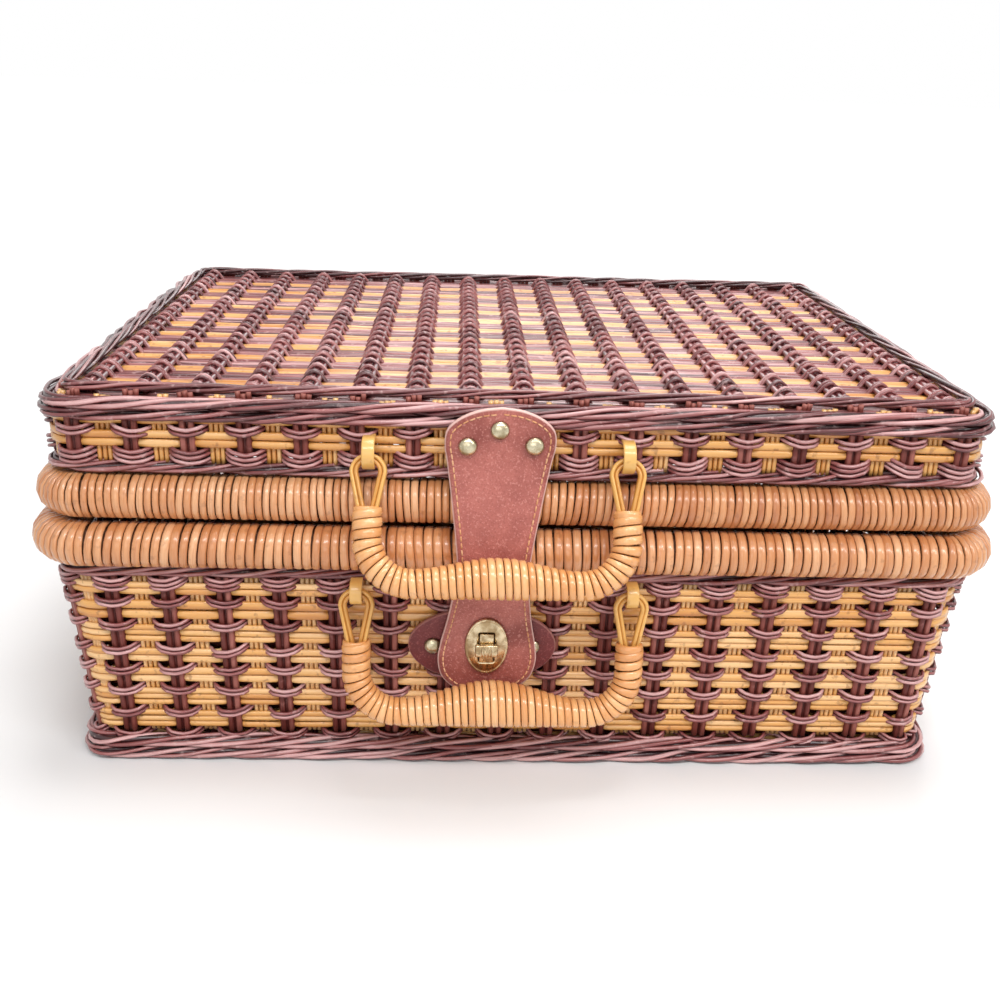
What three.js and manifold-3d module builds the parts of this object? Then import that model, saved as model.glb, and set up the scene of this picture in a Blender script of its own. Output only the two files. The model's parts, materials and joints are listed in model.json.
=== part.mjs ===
// Woven picnic basket: a base tray and a lid that meet at two cane-wrapped rims, two swinging cane
// handles, and a leather tongue on the lid that closes over a brass turn-lock on the base.
// Millimetres, +Z up, front towards -Y. The origin is at the middle of the floor that the basket covers.

import * as THREE from "three";
import { mergeVertices } from "three/addons/utils/BufferGeometryUtils.js";
import Module from "manifold-3d";

const wasm = await Module();
wasm.setup();

// Driving dimensions: the two rims
const CLEAR = 0.3; // gap between neighbours that touch on the real basket
const RIM_HALF_X = 205; // base rim's centreline, half width
const RIM_HALF_Y = 145; // base rim's centreline, half depth
const RIM_CORNER = 18; // base rim's centreline, corner radius
const RIM_Z = 112; // base rim's centreline, height
const RIM_R = 10.2; // wrapped rim, outside radius
const CANE = 1.4; // thickness of the cane that wraps rims and handles
const RIM_GAP = 0.8; // between the two rims when shut
const LID_INSET = 4; // the lid's rim is smaller than the base's by this much all round
const WRAP_SEAM = 1.5; // open seam of each rim wrap, at the middle of the back

// Driving dimensions: walls, floor, panel and borders
const WALL = 9; // thickness of a woven wall
const BASE_WALL_OUT = 1; // base wall's outer face at the top, out from the rim's centreline
const LID_WALL_OUT = 3.6; // lid wall's outer face, out from the lid rim's centreline
const FOOT_R = 6.3; // rope border round the foot
const FOOT_FLAT = 0.5; // depth of the flat that it stands on
const FOOT_INSET = 6; // foot border's centreline, in from the base rim's
const FLOOR = 7; // thickness of the woven floor
const FLOOR_RAISE = 3.2; // floor's underside above the ground
const TWINE_W = 12; // twined band beside each rim, across the wall
const TWINE_H = 5.6; // twined band, height
const LID_WALL_H = 16.6; // lid wall between its twined band and its top rope
const ROPE_R = 5.8; // thick rope along the top of the lid's wall
const ROPE_OUT = 1; // its centreline, out from the lid rim's
const EDGE_R = 3.2; // thin rope on the panel's edge
const EDGE_INSET = 6.5; // its centreline, in from the lid rim's
const PANEL = 7; // thickness of the lid's woven panel
const STAKES = 17; // stake bundles across the lid
const STAKE_END = 1.4; // room between the outermost stakes and the thin rope
const STAKE_W = 8;
const STAKE_H = 4;

// Driving dimensions: weave of the base wall
const WEAVE_PAIRS = 56; // willow stakes round the base, each beside a honey one
const WEAVE_BANDS = 7; // bands of honey rods up the wall
const WEAVE_DEPTH = 3.4; // from the crowns of the weave in to the stakes between them
const WEAVE_START = -8.4; // willow stake nearest the middle of the front, from that middle

// Driving dimensions: hinge loops
const HINGE_X = 118; // each loop's middle, out from the middle of the back
const HINGE_W = 14;
const HINGE_CANE = 1.6;
const HINGE_ROOM = 1.5; // kept free round a loop where the lid turns past it

// Driving dimensions: handles
const HANDLE_X = -11; // middle of both handles and of the clasp
const UPPER_HALF = 54.5; // upper handle: half the distance between its necks
const UPPER_EYE_UP = 5.4; // its eyes' top strand, above the lid wall's lower edge
const UPPER_DROP = 45; // middle of its grip, below the eyes' top strand
const UPPER_GRIP_R = 9.1; // its grip's thickest radius
const UPPER_NECK = 25; // from the eyes' top strand to the wound neck
const UPPER_ROOM = 2.7; // between its grip and the tongue over the rims
const LOWER_HALF = 60.5; // lower handle, the same sizes
const LOWER_EYE_DOWN = 2.6; // its eyes' top strand, below the base wall's upper edge
const LOWER_DROP = 49.4;
const LOWER_GRIP_R = 10.6;
const LOWER_NECK = 26;
const LOWER_ROOM = 1.2; // between its grip and the tongue's lower end
const HANDLE_R = 6.5; // neck, bends and ends of the grip, over the cane
const HANDLE_BEND = 19; // radius of the bends, at the middle of the rod
const WINDING_TURNS = 24; // turns of cane on a handle
const WINDING_W = 3.6; // width of the cane strip
const WINDING_FIT = 0.95; // gap between a handle's rod and its cane
const EYE_DEPTH = 4.6; // eye, front to back
const EYE_BAND = 3.7; // eye, from its opening to its outside
const EYE_HOLE = 8.4; // width of the eye's opening at the top
const EYE_FOOT_R = 4.6; // outside radius of the eye where it meets the neck
const STAPLE_W = 5.4;
const STAPLE_CANE = 1.6;
const STAPLE_ROOM = 3.8; // free space round the eye inside a staple
const STAPLE_SPARE = 3.2; // more of it above the eye in the lid's staples

// Driving dimensions: leather and turn-lock
const LEATHER = 2.6;
const SEAT = 0.4; // gap between the tongue and what it lies over
const RIVET_R = 4; // dome head
const RIVET_H = 2.6;
const RIVET_SHANK = 1.3;
const RIVET_BURR = 2.8; // radius of the flattened inner end
const RIVET_BURR_H = 1.2;
const PATCH_HALF_X = 33.3;
const PATCH_HALF_Z = 19.6;
const PATCH_T = 2.5;
const PATCH_SHIFT = -4.8; // patch's middle, from the handles'
const PATCH_DOWN = 3.3; // patch's middle, below the turn-lock's
const PATCH_RIVET_IN = 11.2; // each rivet of the patch, in from the patch's end
const LOCK_DOWN = 43.6; // turn-lock, below the base rim's centreline
const LOCK_X = -3; // turn-lock's middle, from the handles'
const PLATE_HALF_X = 9.7;
const PLATE_HALF_Z = 14.5;
const PLATE_EDGE = 0.8;
const PLATE_DOME = 1.5;
const SLOT_W = 7;
const SLOT_H = 15.6;
const BOSS_FIT = 0.4; // turn-lock's boss inside the slot, each side
const FLANGE = 1.4; // flange round the boss, under the tongue
const FLANGE_T = 0.8;
const RING_BORDER = 1; // room round the flange inside the tongue's back ring
const STEM_R = 3;
const POST_R = 1.6;
const POST_FIT = 0.35;
const KNOB_LENGTH = 10.3;
const KNOB_WIDTH = 6.2;
const KNOB_T = 2.2;
const TONGUE_RIVETS = [[-13.2, 10.8], [0, 3.5], [14.6, 10.1]]; // across, and below the top rope's middle
const TONGUE_TOP = 5.7; // tongue's upper end, above the top rope's middle
const TONGUE_X = [0.8, -2.4]; // its middle at its upper end and at the turn-lock, from the handles'
// Tongue's upper end: [below its top, half width]
const TONGUE_HEAD = [[0, 0.6], [1.2, 9], [4.5, 17], [9.5, 22.3], [16, 23.2], [24, 21.9]];
const TONGUE_LID_RIM = 18.6; // half width over the lid's rim
const TONGUE_BASE_RIM = 15.8; // half width over the base's rim
const TONGUE_WAIST = [12, 16.2]; // [below the base rim, half width]
// Tongue's lower end: [above the turn-lock's middle, half width]
const TONGUE_LOBE = [
  [12.7, 18.6], [-1.3, 21.4], [-9.3, 22], [-17.3, 20], [-23.3, 14.5], [-26.7, 7], [-27.3, 0.6],
];

// Facets
const CORNER_STEPS = 4;
const ROUND = 10;
const ROD_SIDES = 8;
const ROD_STEPS = 29;
const BORE_SIDES = 16;
const WINDING_STEPS = 10;
const TONGUE_ROWS = 32;
const BEND_STEPS = 3;
const DOME_STEPS = 4;

// Sizes that follow
const LID_RIM_Z = RIM_Z + 2 * RIM_R + RIM_GAP;
const LID_HALF_Y = RIM_HALF_Y - LID_INSET;
const FOOT_Z = FOOT_R - FOOT_FLAT;
const BASE_WALL_Z0 = FOOT_Z + FOOT_R + CLEAR;
const BASE_TWINE_Z = RIM_Z - RIM_R - CLEAR - TWINE_H / 2;
const BASE_WALL_Z1 = BASE_TWINE_Z - TWINE_H / 2 - CLEAR;
const BASE_WALL_FOOT = -FOOT_INSET; // base wall's outer face at the bottom, from the rim's centreline
const LID_TWINE_Z = LID_RIM_Z + RIM_R + CLEAR + TWINE_H / 2;
const LID_WALL_Z0 = LID_TWINE_Z + TWINE_H / 2 + CLEAR;
const LID_WALL_Z1 = LID_WALL_Z0 + LID_WALL_H;
const ROPE_Z = LID_WALL_Z1 + CLEAR + ROPE_R;
const PANEL_Z1 = ROPE_Z + ROPE_R / 2;
const EDGE_Z = PANEL_Z1 + CLEAR + EDGE_R;
const LOCK_Z = RIM_Z - LOCK_DOWN;
const TONGUE_Z = ROPE_Z + TONGUE_TOP;
const PATCH_RIVET_X = PATCH_HALF_X - PATCH_RIVET_IN;
const WALL_LEAN = Math.atan2(BASE_WALL_OUT - BASE_WALL_FOOT, BASE_WALL_Z1 - BASE_WALL_Z0);

/** Distance of the base wall's front face before the middle of the basket, at a height. */
function baseFront(z) {
  const share = (z - BASE_WALL_Z0) / (BASE_WALL_Z1 - BASE_WALL_Z0);
  return RIM_HALF_Y + BASE_WALL_FOOT + share * (BASE_WALL_OUT - BASE_WALL_FOOT);
}
const LID_FRONT = LID_HALF_Y + LID_WALL_OUT;

// Materials
function finish(color, roughness, metalness = 0) {
  return new THREE.MeshStandardMaterial({ color, roughness, metalness });
}
const WILLOW = finish(0x6b3a3c, 0.6);
const HONEY = finish(0xc98a45, 0.55);
const LACQUERED = finish(0xc4813f, 0.4);
const ROD = finish(0xb98a58, 0.7);
const LEATHER_BROWN = finish(0x8a4538, 0.6);
const BRASS = finish(0x9c8a55, 0.35, 1);

/** Closed body from points and triangles, turned so that its faces point out. */
function body(points, triangles) {
  let volume = 0;
  for (const [a, b, c] of triangles) {
    volume += points[a].dot(points[b].clone().cross(points[c]));
  }
  const faces = volume < 0 ? triangles.map(([a, b, c]) => [a, c, b]) : triangles;
  const geometry = new THREE.BufferGeometry();
  geometry.setAttribute("position", new THREE.Float32BufferAttribute(points.flatMap((p) => p.toArray()), 3));
  geometry.setIndex(faces.flat());
  geometry.computeVertexNormals();
  return geometry;
}

/**
 * Sweep of a section along frames { at, u, v }; section(i) gives [along u, along v] pairs, convex where the
 * sweep has ends. turned(i, k) says which of its quads are split along their other diagonal.
 */
function sweep(frames, section, closed, turned = () => false) {
  const points = [];
  const triangles = [];
  const sides = section(0).length;
  frames.forEach(({ at, u, v }, i) => {
    for (const [a, b] of section(i)) {
      points.push(at.clone().addScaledVector(u, a).addScaledVector(v, b));
    }
  });
  const last = closed ? frames.length : frames.length - 1;
  for (let i = 0; i < last; i += 1) {
    const here = i * sides;
    const next = ((i + 1) % frames.length) * sides;
    for (let k = 0; k < sides; k += 1) {
      const l = (k + 1) % sides;
      if (turned(i, k)) {
        triangles.push([here + k, next + k, here + l], [next + k, next + l, here + l]);
      } else {
        triangles.push([here + k, next + k, next + l], [here + k, next + l, here + l]);
      }
    }
  }
  if (!closed) {
    const end = (frames.length - 1) * sides;
    for (let k = 1; k < sides - 1; k += 1) {
      triangles.push([0, k, k + 1], [end, end + k + 1, end + k]);
    }
  }
  return body(points, triangles);
}

/** Open pipe along frames, between an inner and an outer section of equal counts. */
function pipe(frames, outer, inner) {
  const points = [];
  const triangles = [];
  const sides = outer.length;
  for (const { at, u, v } of frames) {
    for (const [a, b] of [...outer, ...inner]) {
      points.push(at.clone().addScaledVector(u, a).addScaledVector(v, b));
    }
  }
  const quad = (a, b, c, d) => triangles.push([a, b, c], [a, c, d]);
  for (let k = 0; k < sides; k += 1) {
    const l = (k + 1) % sides;
    for (let i = 0; i < frames.length - 1; i += 1) {
      const here = 2 * sides * i;
      const next = here + 2 * sides;
      quad(here + k, next + k, next + l, here + l);
      quad(here + sides + l, next + sides + l, next + sides + k, here + sides + k);
    }
    const end = 2 * sides * (frames.length - 1);
    quad(l, sides + l, sides + k, k);
    quad(end + k, end + sides + k, end + sides + l, end + l);
  }
  return body(points, triangles);
}

/** Points of a circle or an ellipse as [a, b] pairs round a middle. */
function oval(radiusA, radiusB, sides, middleA = 0, middleB = 0) {
  return Array.from({ length: sides }, (_, k) => {
    const turn = (2 * Math.PI * (k + 0.5)) / sides;
    return [middleA + radiusA * Math.cos(turn), middleB + radiusB * Math.sin(turn)];
  });
}

/** Frames round the tray at an inset from the base rim's centreline: u points out and v up. */
function trayFrames(inset, seam = 0) {
  const up = new THREE.Vector3(0, 0, 1);
  const halfX = RIM_HALF_X - inset;
  const halfY = RIM_HALF_Y - inset;
  const corner = RIM_CORNER - inset;
  const frames = [];
  const add = (x, y, turn) => {
    const u = new THREE.Vector3(Math.cos(turn), Math.sin(turn), 0);
    frames.push({ at: new THREE.Vector3(x, y, 0), u, v: up });
  };
  add(-seam / 2, halfY, Math.PI / 2);
  for (const [sx, sy, quarter] of [[-1, 1, 1], [-1, -1, 2], [1, -1, 3], [1, 1, 4]]) {
    for (let k = 0; k <= CORNER_STEPS; k += 1) {
      const turn = (Math.PI / 2) * (quarter + k / CORNER_STEPS);
      const x = sx * (halfX - corner) + corner * Math.cos(turn);
      const y = sy * (halfY - corner) + corner * Math.sin(turn);
      add(x, y, turn);
    }
  }
  if (seam > 0) {
    add(seam / 2, halfY, Math.PI / 2);
  }
  return frames;
}

/** Ring round the tray with one section, given out from its centreline and up from the ground. */
const trayRing = (inset, section) => sweep(trayFrames(inset), () => section, true);

/** Frames at the base wall's stakes, evenly round the rim's centreline: u points out and v up. */
function stakeFrames() {
  const line = roundRect(2 * RIM_HALF_X, 2 * RIM_HALF_Y, RIM_CORNER);
  const length = line.getLength();
  const pastFront = RIM_HALF_X + 2 * RIM_HALF_Y + (Math.PI / 2 - 3) * RIM_CORNER;
  const up = new THREE.Vector3(0, 0, 1);
  return Array.from({ length: 2 * WEAVE_PAIRS }, (_, i) => {
    const walked = length - pastFront + WEAVE_START + (length * i) / (2 * WEAVE_PAIRS);
    const share = (walked % length) / length;
    const at = line.getPoint(share);
    const way = line.getTangent(share);
    return { at: new THREE.Vector3(at.x, at.y, 0), u: new THREE.Vector3(way.y, -way.x, 0), v: up };
  });
}

/** Section of the base wall at a stake, with crowns where rods or strands pass before it. */
function stakeSection(i) {
  const rows = 2 * WEAVE_BANDS;
  const outside = Array.from({ length: rows + 1 }, (_, j) => {
    const z = BASE_WALL_Z0 + (j / rows) * (BASE_WALL_Z1 - BASE_WALL_Z0);
    return [baseFront(z) - RIM_HALF_Y - WEAVE_DEPTH * ((i + j) % 2), z];
  });
  return [[BASE_WALL_FOOT - WALL, BASE_WALL_Z0], ...outside, [BASE_WALL_OUT - WALL, BASE_WALL_Z1]];
}

/** Flat slab with the tray's outline at an inset, between two heights. */
function traySlab(inset, z0, z1) {
  const outline = new THREE.Shape(trayFrames(inset).map(({ at }) => new THREE.Vector2(at.x, at.y)));
  return new THREE.ExtrudeGeometry(outline, { depth: z1 - z0, bevelEnabled: false }).translate(0, 0, z0);
}

/** Solid for joining and cutting. */
function solid(geometry) {
  const plain = geometry.clone();
  plain.deleteAttribute("normal");
  plain.deleteAttribute("uv");
  const merged = mergeVertices(plain);
  const mesh = new wasm.Mesh({
    numProp: 3,
    vertProperties: Float32Array.from(merged.attributes.position.array),
    triVerts: Uint32Array.from(merged.index.array),
  });
  return new wasm.Manifold(mesh);
}

/** Geometry of a solid that was joined or cut. */
function surface(result) {
  const mesh = result.getMesh();
  const geometry = new THREE.BufferGeometry();
  geometry.setAttribute("position", new THREE.Float32BufferAttribute(mesh.vertProperties, 3));
  geometry.setIndex(Array.from(mesh.triVerts));
  geometry.computeVertexNormals();
  return geometry;
}
const join = (...geometries) => surface(geometries.map(solid).reduce((a, b) => a.add(b)));
const cut = (geometry, tools) => surface(tools.map(solid).reduce((a, b) => a.subtract(b), solid(geometry)));

/** Box between two corners. */
function boxBetween([x0, y0, z0], [x1, y1, z1]) {
  const box = new THREE.BoxGeometry(x1 - x0, y1 - y0, z1 - z0);
  return box.translate((x0 + x1) / 2, (y0 + y1) / 2, (z0 + z1) / 2);
}

/** Round bar along Y at (x, z), between two distances before the local origin. */
function barOut(radius, from, to, x = 0, z = 0) {
  return new THREE.CylinderGeometry(radius, radius, to - from, BORE_SIDES).translate(x, -(from + to) / 2, z);
}

/** Flat plate from a shape in X and Z, between two distances before the local origin. */
function plateOut(shape, from, to, segments = ROUND) {
  const options = { depth: to - from, bevelEnabled: false, curveSegments: segments };
  return new THREE.ExtrudeGeometry(shape, options).rotateX(Math.PI / 2).translate(0, -from, 0);
}

/** Rectangle with round corners, centred, as a shape or a hole. */
function roundRect(width, height, radius, Kind = THREE.Shape) {
  const [x, y] = [width / 2 - radius, height / 2 - radius];
  const shape = new Kind();
  shape.absarc(x, y, radius, 0, Math.PI / 2);
  shape.absarc(-x, y, radius, Math.PI / 2, Math.PI);
  shape.absarc(-x, -y, radius, Math.PI, 1.5 * Math.PI);
  shape.absarc(x, -y, radius, 1.5 * Math.PI, 2 * Math.PI);
  shape.closePath();
  return shape;
}

/** Two round ends joined by straight sides: a big one at the top, a small one below, as a shape or a hole. */
function drop(topR, topY, footR, footY, Kind = THREE.Shape) {
  const shape = new Kind();
  shape.absarc(0, topY, topR, 0, Math.PI);
  shape.absarc(0, footY, footR, Math.PI, 2 * Math.PI);
  shape.closePath();
  return shape;
}

/** Profile of a dome from its edge to its top, as [radius, height] pairs. */
function domeProfile(radius, base, height) {
  return Array.from({ length: DOME_STEPS + 1 }, (_, k) => {
    const turn = (Math.PI / 2) * (k / DOME_STEPS);
    return [k === DOME_STEPS ? 0 : radius * Math.cos(turn), base + height * Math.sin(turn)];
  });
}

/** Dome-headed rivet along -Y: its stack starts at the wall's inner face, at the local origin. */
function rivet(stack) {
  const under = stack + CLEAR;
  const profile = [
    [0, -CLEAR - RIVET_BURR_H],
    [RIVET_BURR, -CLEAR - RIVET_BURR_H],
    [RIVET_BURR, -CLEAR],
    [RIVET_SHANK, -CLEAR],
    [RIVET_SHANK, under],
    ...domeProfile(RIVET_R, under, RIVET_H),
  ].map(([r, along]) => new THREE.Vector2(r, along));
  return new THREE.LatheGeometry(profile, ROUND).rotateX(Math.PI);
}

const tray = new THREE.Group();

/** Adds a named piece to a group. */
function piece(name, geometry, material, parent = tray) {
  const mesh = new THREE.Mesh(geometry, material);
  mesh.name = name;
  parent.add(mesh);
  return mesh;
}

// Group that stands on the base wall's front at the turn-lock: -Y points out of the leaning wall
const clasp = new THREE.Group();
clasp.position.set(HANDLE_X, -baseFront(LOCK_Z), LOCK_Z);
clasp.rotation.x = WALL_LEAN;
clasp.updateMatrix();
tray.add(clasp);

// Heights above the wall's front face, in the clasp's group
const PATCH_OUT = CLEAR;
const FLANGE_OUT = PATCH_OUT + PATCH_T + CLEAR;
const TONGUE_OUT = FLANGE_OUT + FLANGE_T + CLEAR;
const PLATE_OUT = TONGUE_OUT + LEATHER + CLEAR;
const KNOB_OUT = PLATE_OUT + PLATE_EDGE + PLATE_DOME + 3 * CLEAR;
const PATCH_RIVET_STACK = WALL + PATCH_OUT + PATCH_T;

// Handles

/** A handle's own sizes in its hanging plane: the eye's top strand is the swing axis. */
function handlePlan(spec, wallFront) {
  const axisOut = wallFront + STAPLE_ROOM + CLEAR;
  const forward = spec.gripOut - axisOut;
  const lift = spec.gripR - HANDLE_R;
  const lean = Math.atan2(forward, spec.drop);
  const low = Math.hypot(forward, spec.drop) + lift;
  return { ...spec, axisOut, lift, lean, low };
}

/** Rod's middle, direction and outside radius at a distance along a handle, in its hanging plane. */
function handleAt(plan, along) {
  const neck = plan.low - HANDLE_BEND - plan.neck;
  const arc = (Math.PI / 2) * HANDLE_BEND;
  const grip = 2 * (plan.half - HANDLE_BEND);
  const mirrored = along > neck + arc + grip / 2;
  const s = mirrored ? 2 * (neck + arc) + grip - along : along;
  let x = -plan.half;
  let z = -plan.neck - s;
  let turn = 0;
  let radius = HANDLE_R;
  if (s > neck && s <= neck + arc) {
    turn = (s - neck) / HANDLE_BEND;
    x = -plan.half + HANDLE_BEND * (1 - Math.cos(turn));
    z = -plan.low + HANDLE_BEND * (1 - Math.sin(turn));
  } else if (s > neck + arc) {
    turn = Math.PI / 2;
    x = -grip / 2 + (s - neck - arc);
    const bulge = Math.cos((Math.PI * x) / grip) ** 2;
    radius = HANDLE_R + plan.lift * bulge;
    z = -plan.low + plan.lift * bulge;
  }
  const side = mirrored ? -1 : 1;
  return {
    at: new THREE.Vector3(side * x, 0, z),
    tangent: new THREE.Vector3(Math.sin(turn), 0, -side * Math.cos(turn)),
    normal: new THREE.Vector3(side * Math.cos(turn), 0, Math.sin(turn)),
    radius,
  };
}
const handleLength = (plan) =>
  2 * (plan.low - HANDLE_BEND - plan.neck) + Math.PI * HANDLE_BEND + 2 * (plan.half - HANDLE_BEND);

/** Rod of a handle under its cane. */
function handleCore(plan) {
  const step = handleLength(plan) / ROD_STEPS;
  const rods = Array.from({ length: ROD_STEPS + 1 }, (_, i) => handleAt(plan, step * i));
  const frames = rods.map(({ at, normal }) => ({ at, u: normal, v: new THREE.Vector3(0, 1, 0) }));
  const section = (i) => {
    const radius = rods[i].radius - CANE - WINDING_FIT;
    return oval(radius, radius, ROD_SIDES);
  };
  return sweep(frames, section, false);
}

/** Cane wound round a handle in one unbroken strip; prints the least gap between neighbouring turns. */
function handleWinding(name, plan) {
  const steps = WINDING_TURNS * WINDING_STEPS;
  const wound = handleLength(plan) - WINDING_W;
  const front = new THREE.Vector3(0, 1, 0);
  const frames = Array.from({ length: steps + 1 }, (_, i) => {
    const { at, tangent, normal, radius } = handleAt(plan, WINDING_W / 2 + (wound * i) / steps);
    const turn = (2 * Math.PI * i) / WINDING_STEPS;
    const out = normal.clone().multiplyScalar(Math.cos(turn)).addScaledVector(front, Math.sin(turn));
    return { at: at.clone().addScaledVector(out, radius - CANE / 2), u: out, v: tangent };
  });
  const [t, w] = [CANE / 2, WINDING_W / 2];
  let gap = Infinity;
  for (let i = 0; i + WINDING_STEPS <= steps; i += 1) {
    const here = frames[i].at.clone().addScaledVector(frames[i].v, w);
    const { at, v } = frames[i + WINDING_STEPS];
    gap = Math.min(gap, at.clone().addScaledVector(v, -w).sub(here).dot(v));
  }
  console.log(`${name}: least gap between turns ${gap.toFixed(2)} mm`);
  return sweep(frames, () => [[-t, -w], [t, -w], [t, w], [-t, w]], false);
}

/** Eye of a handle: a band that goes round the staple and ends on the neck. */
function handleEye(plan) {
  const holeR = EYE_HOLE / 2;
  const topY = EYE_BAND / 2 - EYE_BAND - holeR;
  const footY = -plan.neck + CLEAR + EYE_FOOT_R;
  const shape = drop(holeR + EYE_BAND, topY, EYE_FOOT_R, footY);
  shape.holes.push(drop(holeR, topY, EYE_FOOT_R - EYE_BAND, footY, THREE.Path));
  return plateOut(shape, -EYE_DEPTH / 2, EYE_DEPTH / 2, ROD_SIDES);
}

/** Builds a handle and its staples; returns the slots that the staples need in the wall. */
function addHandle(label, spec, wallFront, wallBack, stapleTop) {
  const plan = handlePlan(spec, wallFront);
  const handle = new THREE.Group();
  handle.position.set(HANDLE_X, -plan.axisOut, plan.axisZ);
  handle.rotation.x = -plan.lean;
  tray.add(handle);
  piece(`${label}_handle_core`, handleCore(plan), ROD, handle);
  piece(`${label}_handle_wrap`, handleWinding(`${label}_handle_wrap`, plan), LACQUERED, handle);
  const slots = [];
  for (const [side, x] of [["left", -plan.half], ["right", plan.half]]) {
    piece(`${label}_eye_${side}`, handleEye(plan), HONEY, handle).position.x = x;
    slots.push(...addStaple(`${label}_staple_${side}`, HANDLE_X + x, plan, wallBack, stapleTop));
  }
  return slots;
}

/** Staple: a strip that loops round the eye, through the wall and back; returns its two slots in the wall. */
function addStaple(name, x, plan, wallBack, top) {
  const outer = { front: plan.axisOut + STAPLE_ROOM + STAPLE_CANE, back: wallBack - CLEAR - STAPLE_CANE };
  const low = plan.axisZ - STAPLE_ROOM - STAPLE_CANE;
  const high = plan.axisZ + top + STAPLE_CANE;
  const [depth, height] = [outer.front - outer.back, high - low];
  const round = CLEAR + STAPLE_CANE;
  const shape = roundRect(depth, height, round);
  const inside = [depth - 2 * STAPLE_CANE, height - 2 * STAPLE_CANE];
  shape.holes.push(roundRect(...inside, round - STAPLE_CANE, THREE.Path));
  const options = { depth: STAPLE_W, bevelEnabled: false, curveSegments: BEND_STEPS };
  const strip = new THREE.ExtrudeGeometry(shape, options).translate(0, 0, -STAPLE_W / 2);
  const across = new THREE.Matrix4().makeBasis(
    new THREE.Vector3(0, 1, 0),
    new THREE.Vector3(0, 0, 1),
    new THREE.Vector3(1, 0, 0),
  );
  strip.applyMatrix4(across);
  piece(name, strip, HONEY).position.set(x, -(outer.front + outer.back) / 2, (low + high) / 2);
  const half = STAPLE_W / 2 + CLEAR;
  const slot = (z0) =>
    boxBetween([x - half, -outer.front, z0 - CLEAR], [x + half, -outer.back, z0 + STAPLE_CANE + CLEAR]);
  return [slot(low), slot(high - STAPLE_CANE)];
}

const lobeFront = (z) => baseFront(z) + (TONGUE_OUT + LEATHER) / Math.cos(WALL_LEAN);
const lowerAxisZ = BASE_WALL_Z1 - LOWER_EYE_DOWN;
const LOWER = {
  half: LOWER_HALF,
  axisZ: lowerAxisZ,
  drop: LOWER_DROP,
  gripR: LOWER_GRIP_R,
  neck: LOWER_NECK,
  gripOut: lobeFront(lowerAxisZ - LOWER_DROP) + LOWER_ROOM + LOWER_GRIP_R,
};
const UPPER = {
  half: UPPER_HALF,
  axisZ: LID_WALL_Z0 + UPPER_EYE_UP,
  drop: UPPER_DROP,
  gripR: UPPER_GRIP_R,
  neck: UPPER_NECK,
  gripOut: RIM_HALF_Y + RIM_R + SEAT + LEATHER + UPPER_ROOM + UPPER_GRIP_R,
};
const lowerBack = baseFront(LOWER.axisZ - STAPLE_ROOM - STAPLE_CANE) - WALL;
const lowerSlots = addHandle("lower", LOWER, baseFront(LOWER.axisZ), lowerBack, STAPLE_ROOM);
const upperSlots = addHandle("upper", UPPER, LID_FRONT, LID_FRONT - WALL, STAPLE_ROOM + STAPLE_SPARE);

// Hinge loops: one belt of cane round both back rims at each side
const hingeRun = Math.hypot(LID_INSET, LID_RIM_Z - RIM_Z);
const hingeBore = RIM_R + CLEAR;
const hingeNotches = { base: [], lid: [] };
for (const [side, x] of [["left", -HINGE_X], ["right", HINGE_X]]) {
  const shape = drop(hingeBore + HINGE_CANE, hingeRun, hingeBore + HINGE_CANE, 0);
  shape.holes.push(drop(hingeBore, hingeRun, hingeBore, 0, THREE.Path));
  const options = { depth: HINGE_W, bevelEnabled: false, curveSegments: ROD_SIDES };
  const belt = new THREE.ExtrudeGeometry(shape, options).translate(0, 0, -HINGE_W / 2).rotateY(Math.PI / 2);
  belt.rotateX(Math.PI / 2);
  const loop = piece(`hinge_loop_${side}`, belt, HONEY);
  loop.position.set(x, RIM_HALF_Y, RIM_Z);
  loop.rotation.x = Math.atan2(LID_INSET, LID_RIM_Z - RIM_Z);
  const half = HINGE_W / 2 + HINGE_ROOM;
  const room = hingeBore + HINGE_CANE + HINGE_ROOM;
  const [y0, y1] = [RIM_HALF_Y - RIM_R - WALL, RIM_HALF_Y + RIM_R + WALL];
  hingeNotches.base.push(boxBetween([x - half, y0, RIM_Z - room], [x + half, y1, RIM_Z]));
  hingeNotches.lid.push(boxBetween([x - half, y0, LID_RIM_Z], [x + half, y1, LID_RIM_Z + room]));
  const sweptFrom = [x - half, LID_HALF_Y - HINGE_ROOM, LID_RIM_Z];
  hingeNotches.lid.push(boxBetween(sweptFrom, [x + half, y1, LID_WALL_Z0]));
}

// Base tray
const inClasp = (geometry) => geometry.applyMatrix4(clasp.matrix);
const patchHole = (x) => inClasp(barOut(RIVET_SHANK + CLEAR, -2 * WALL, WALL, PATCH_SHIFT + x, -PATCH_DOWN));
const stemHole = inClasp(barOut(STEM_R + CLEAR, -2 * WALL, WALL, LOCK_X));
const hollowAcross = (i, k) => (i + k) % 2 === 1; // splits the weave's quads from hollow to hollow
const baseWall = sweep(stakeFrames(), stakeSection, true, hollowAcross);
const patchHoles = [-PATCH_RIVET_X, PATCH_RIVET_X].map(patchHole);
piece("base_wall", cut(baseWall, [...lowerSlots, ...patchHoles, stemHole]), HONEY);
piece("base_floor", traySlab(FOOT_INSET + FOOT_R + CLEAR, FLOOR_RAISE, FLOOR_RAISE + FLOOR), HONEY);

// The foot border's round section ends at the two edges of the flat that it stands on
const flatTurn = Math.asin(FOOT_Z / FOOT_R);
const footSection = Array.from({ length: ROUND }, (_, k) => {
  const turn = (Math.PI + 2 * flatTurn) * (k / (ROUND - 1)) - flatTurn;
  return [FOOT_R * Math.cos(turn) - FOOT_INSET, FOOT_R * Math.sin(turn) + FOOT_Z];
});
piece("base_foot_border", trayRing(0, footSection), WILLOW);

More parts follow.
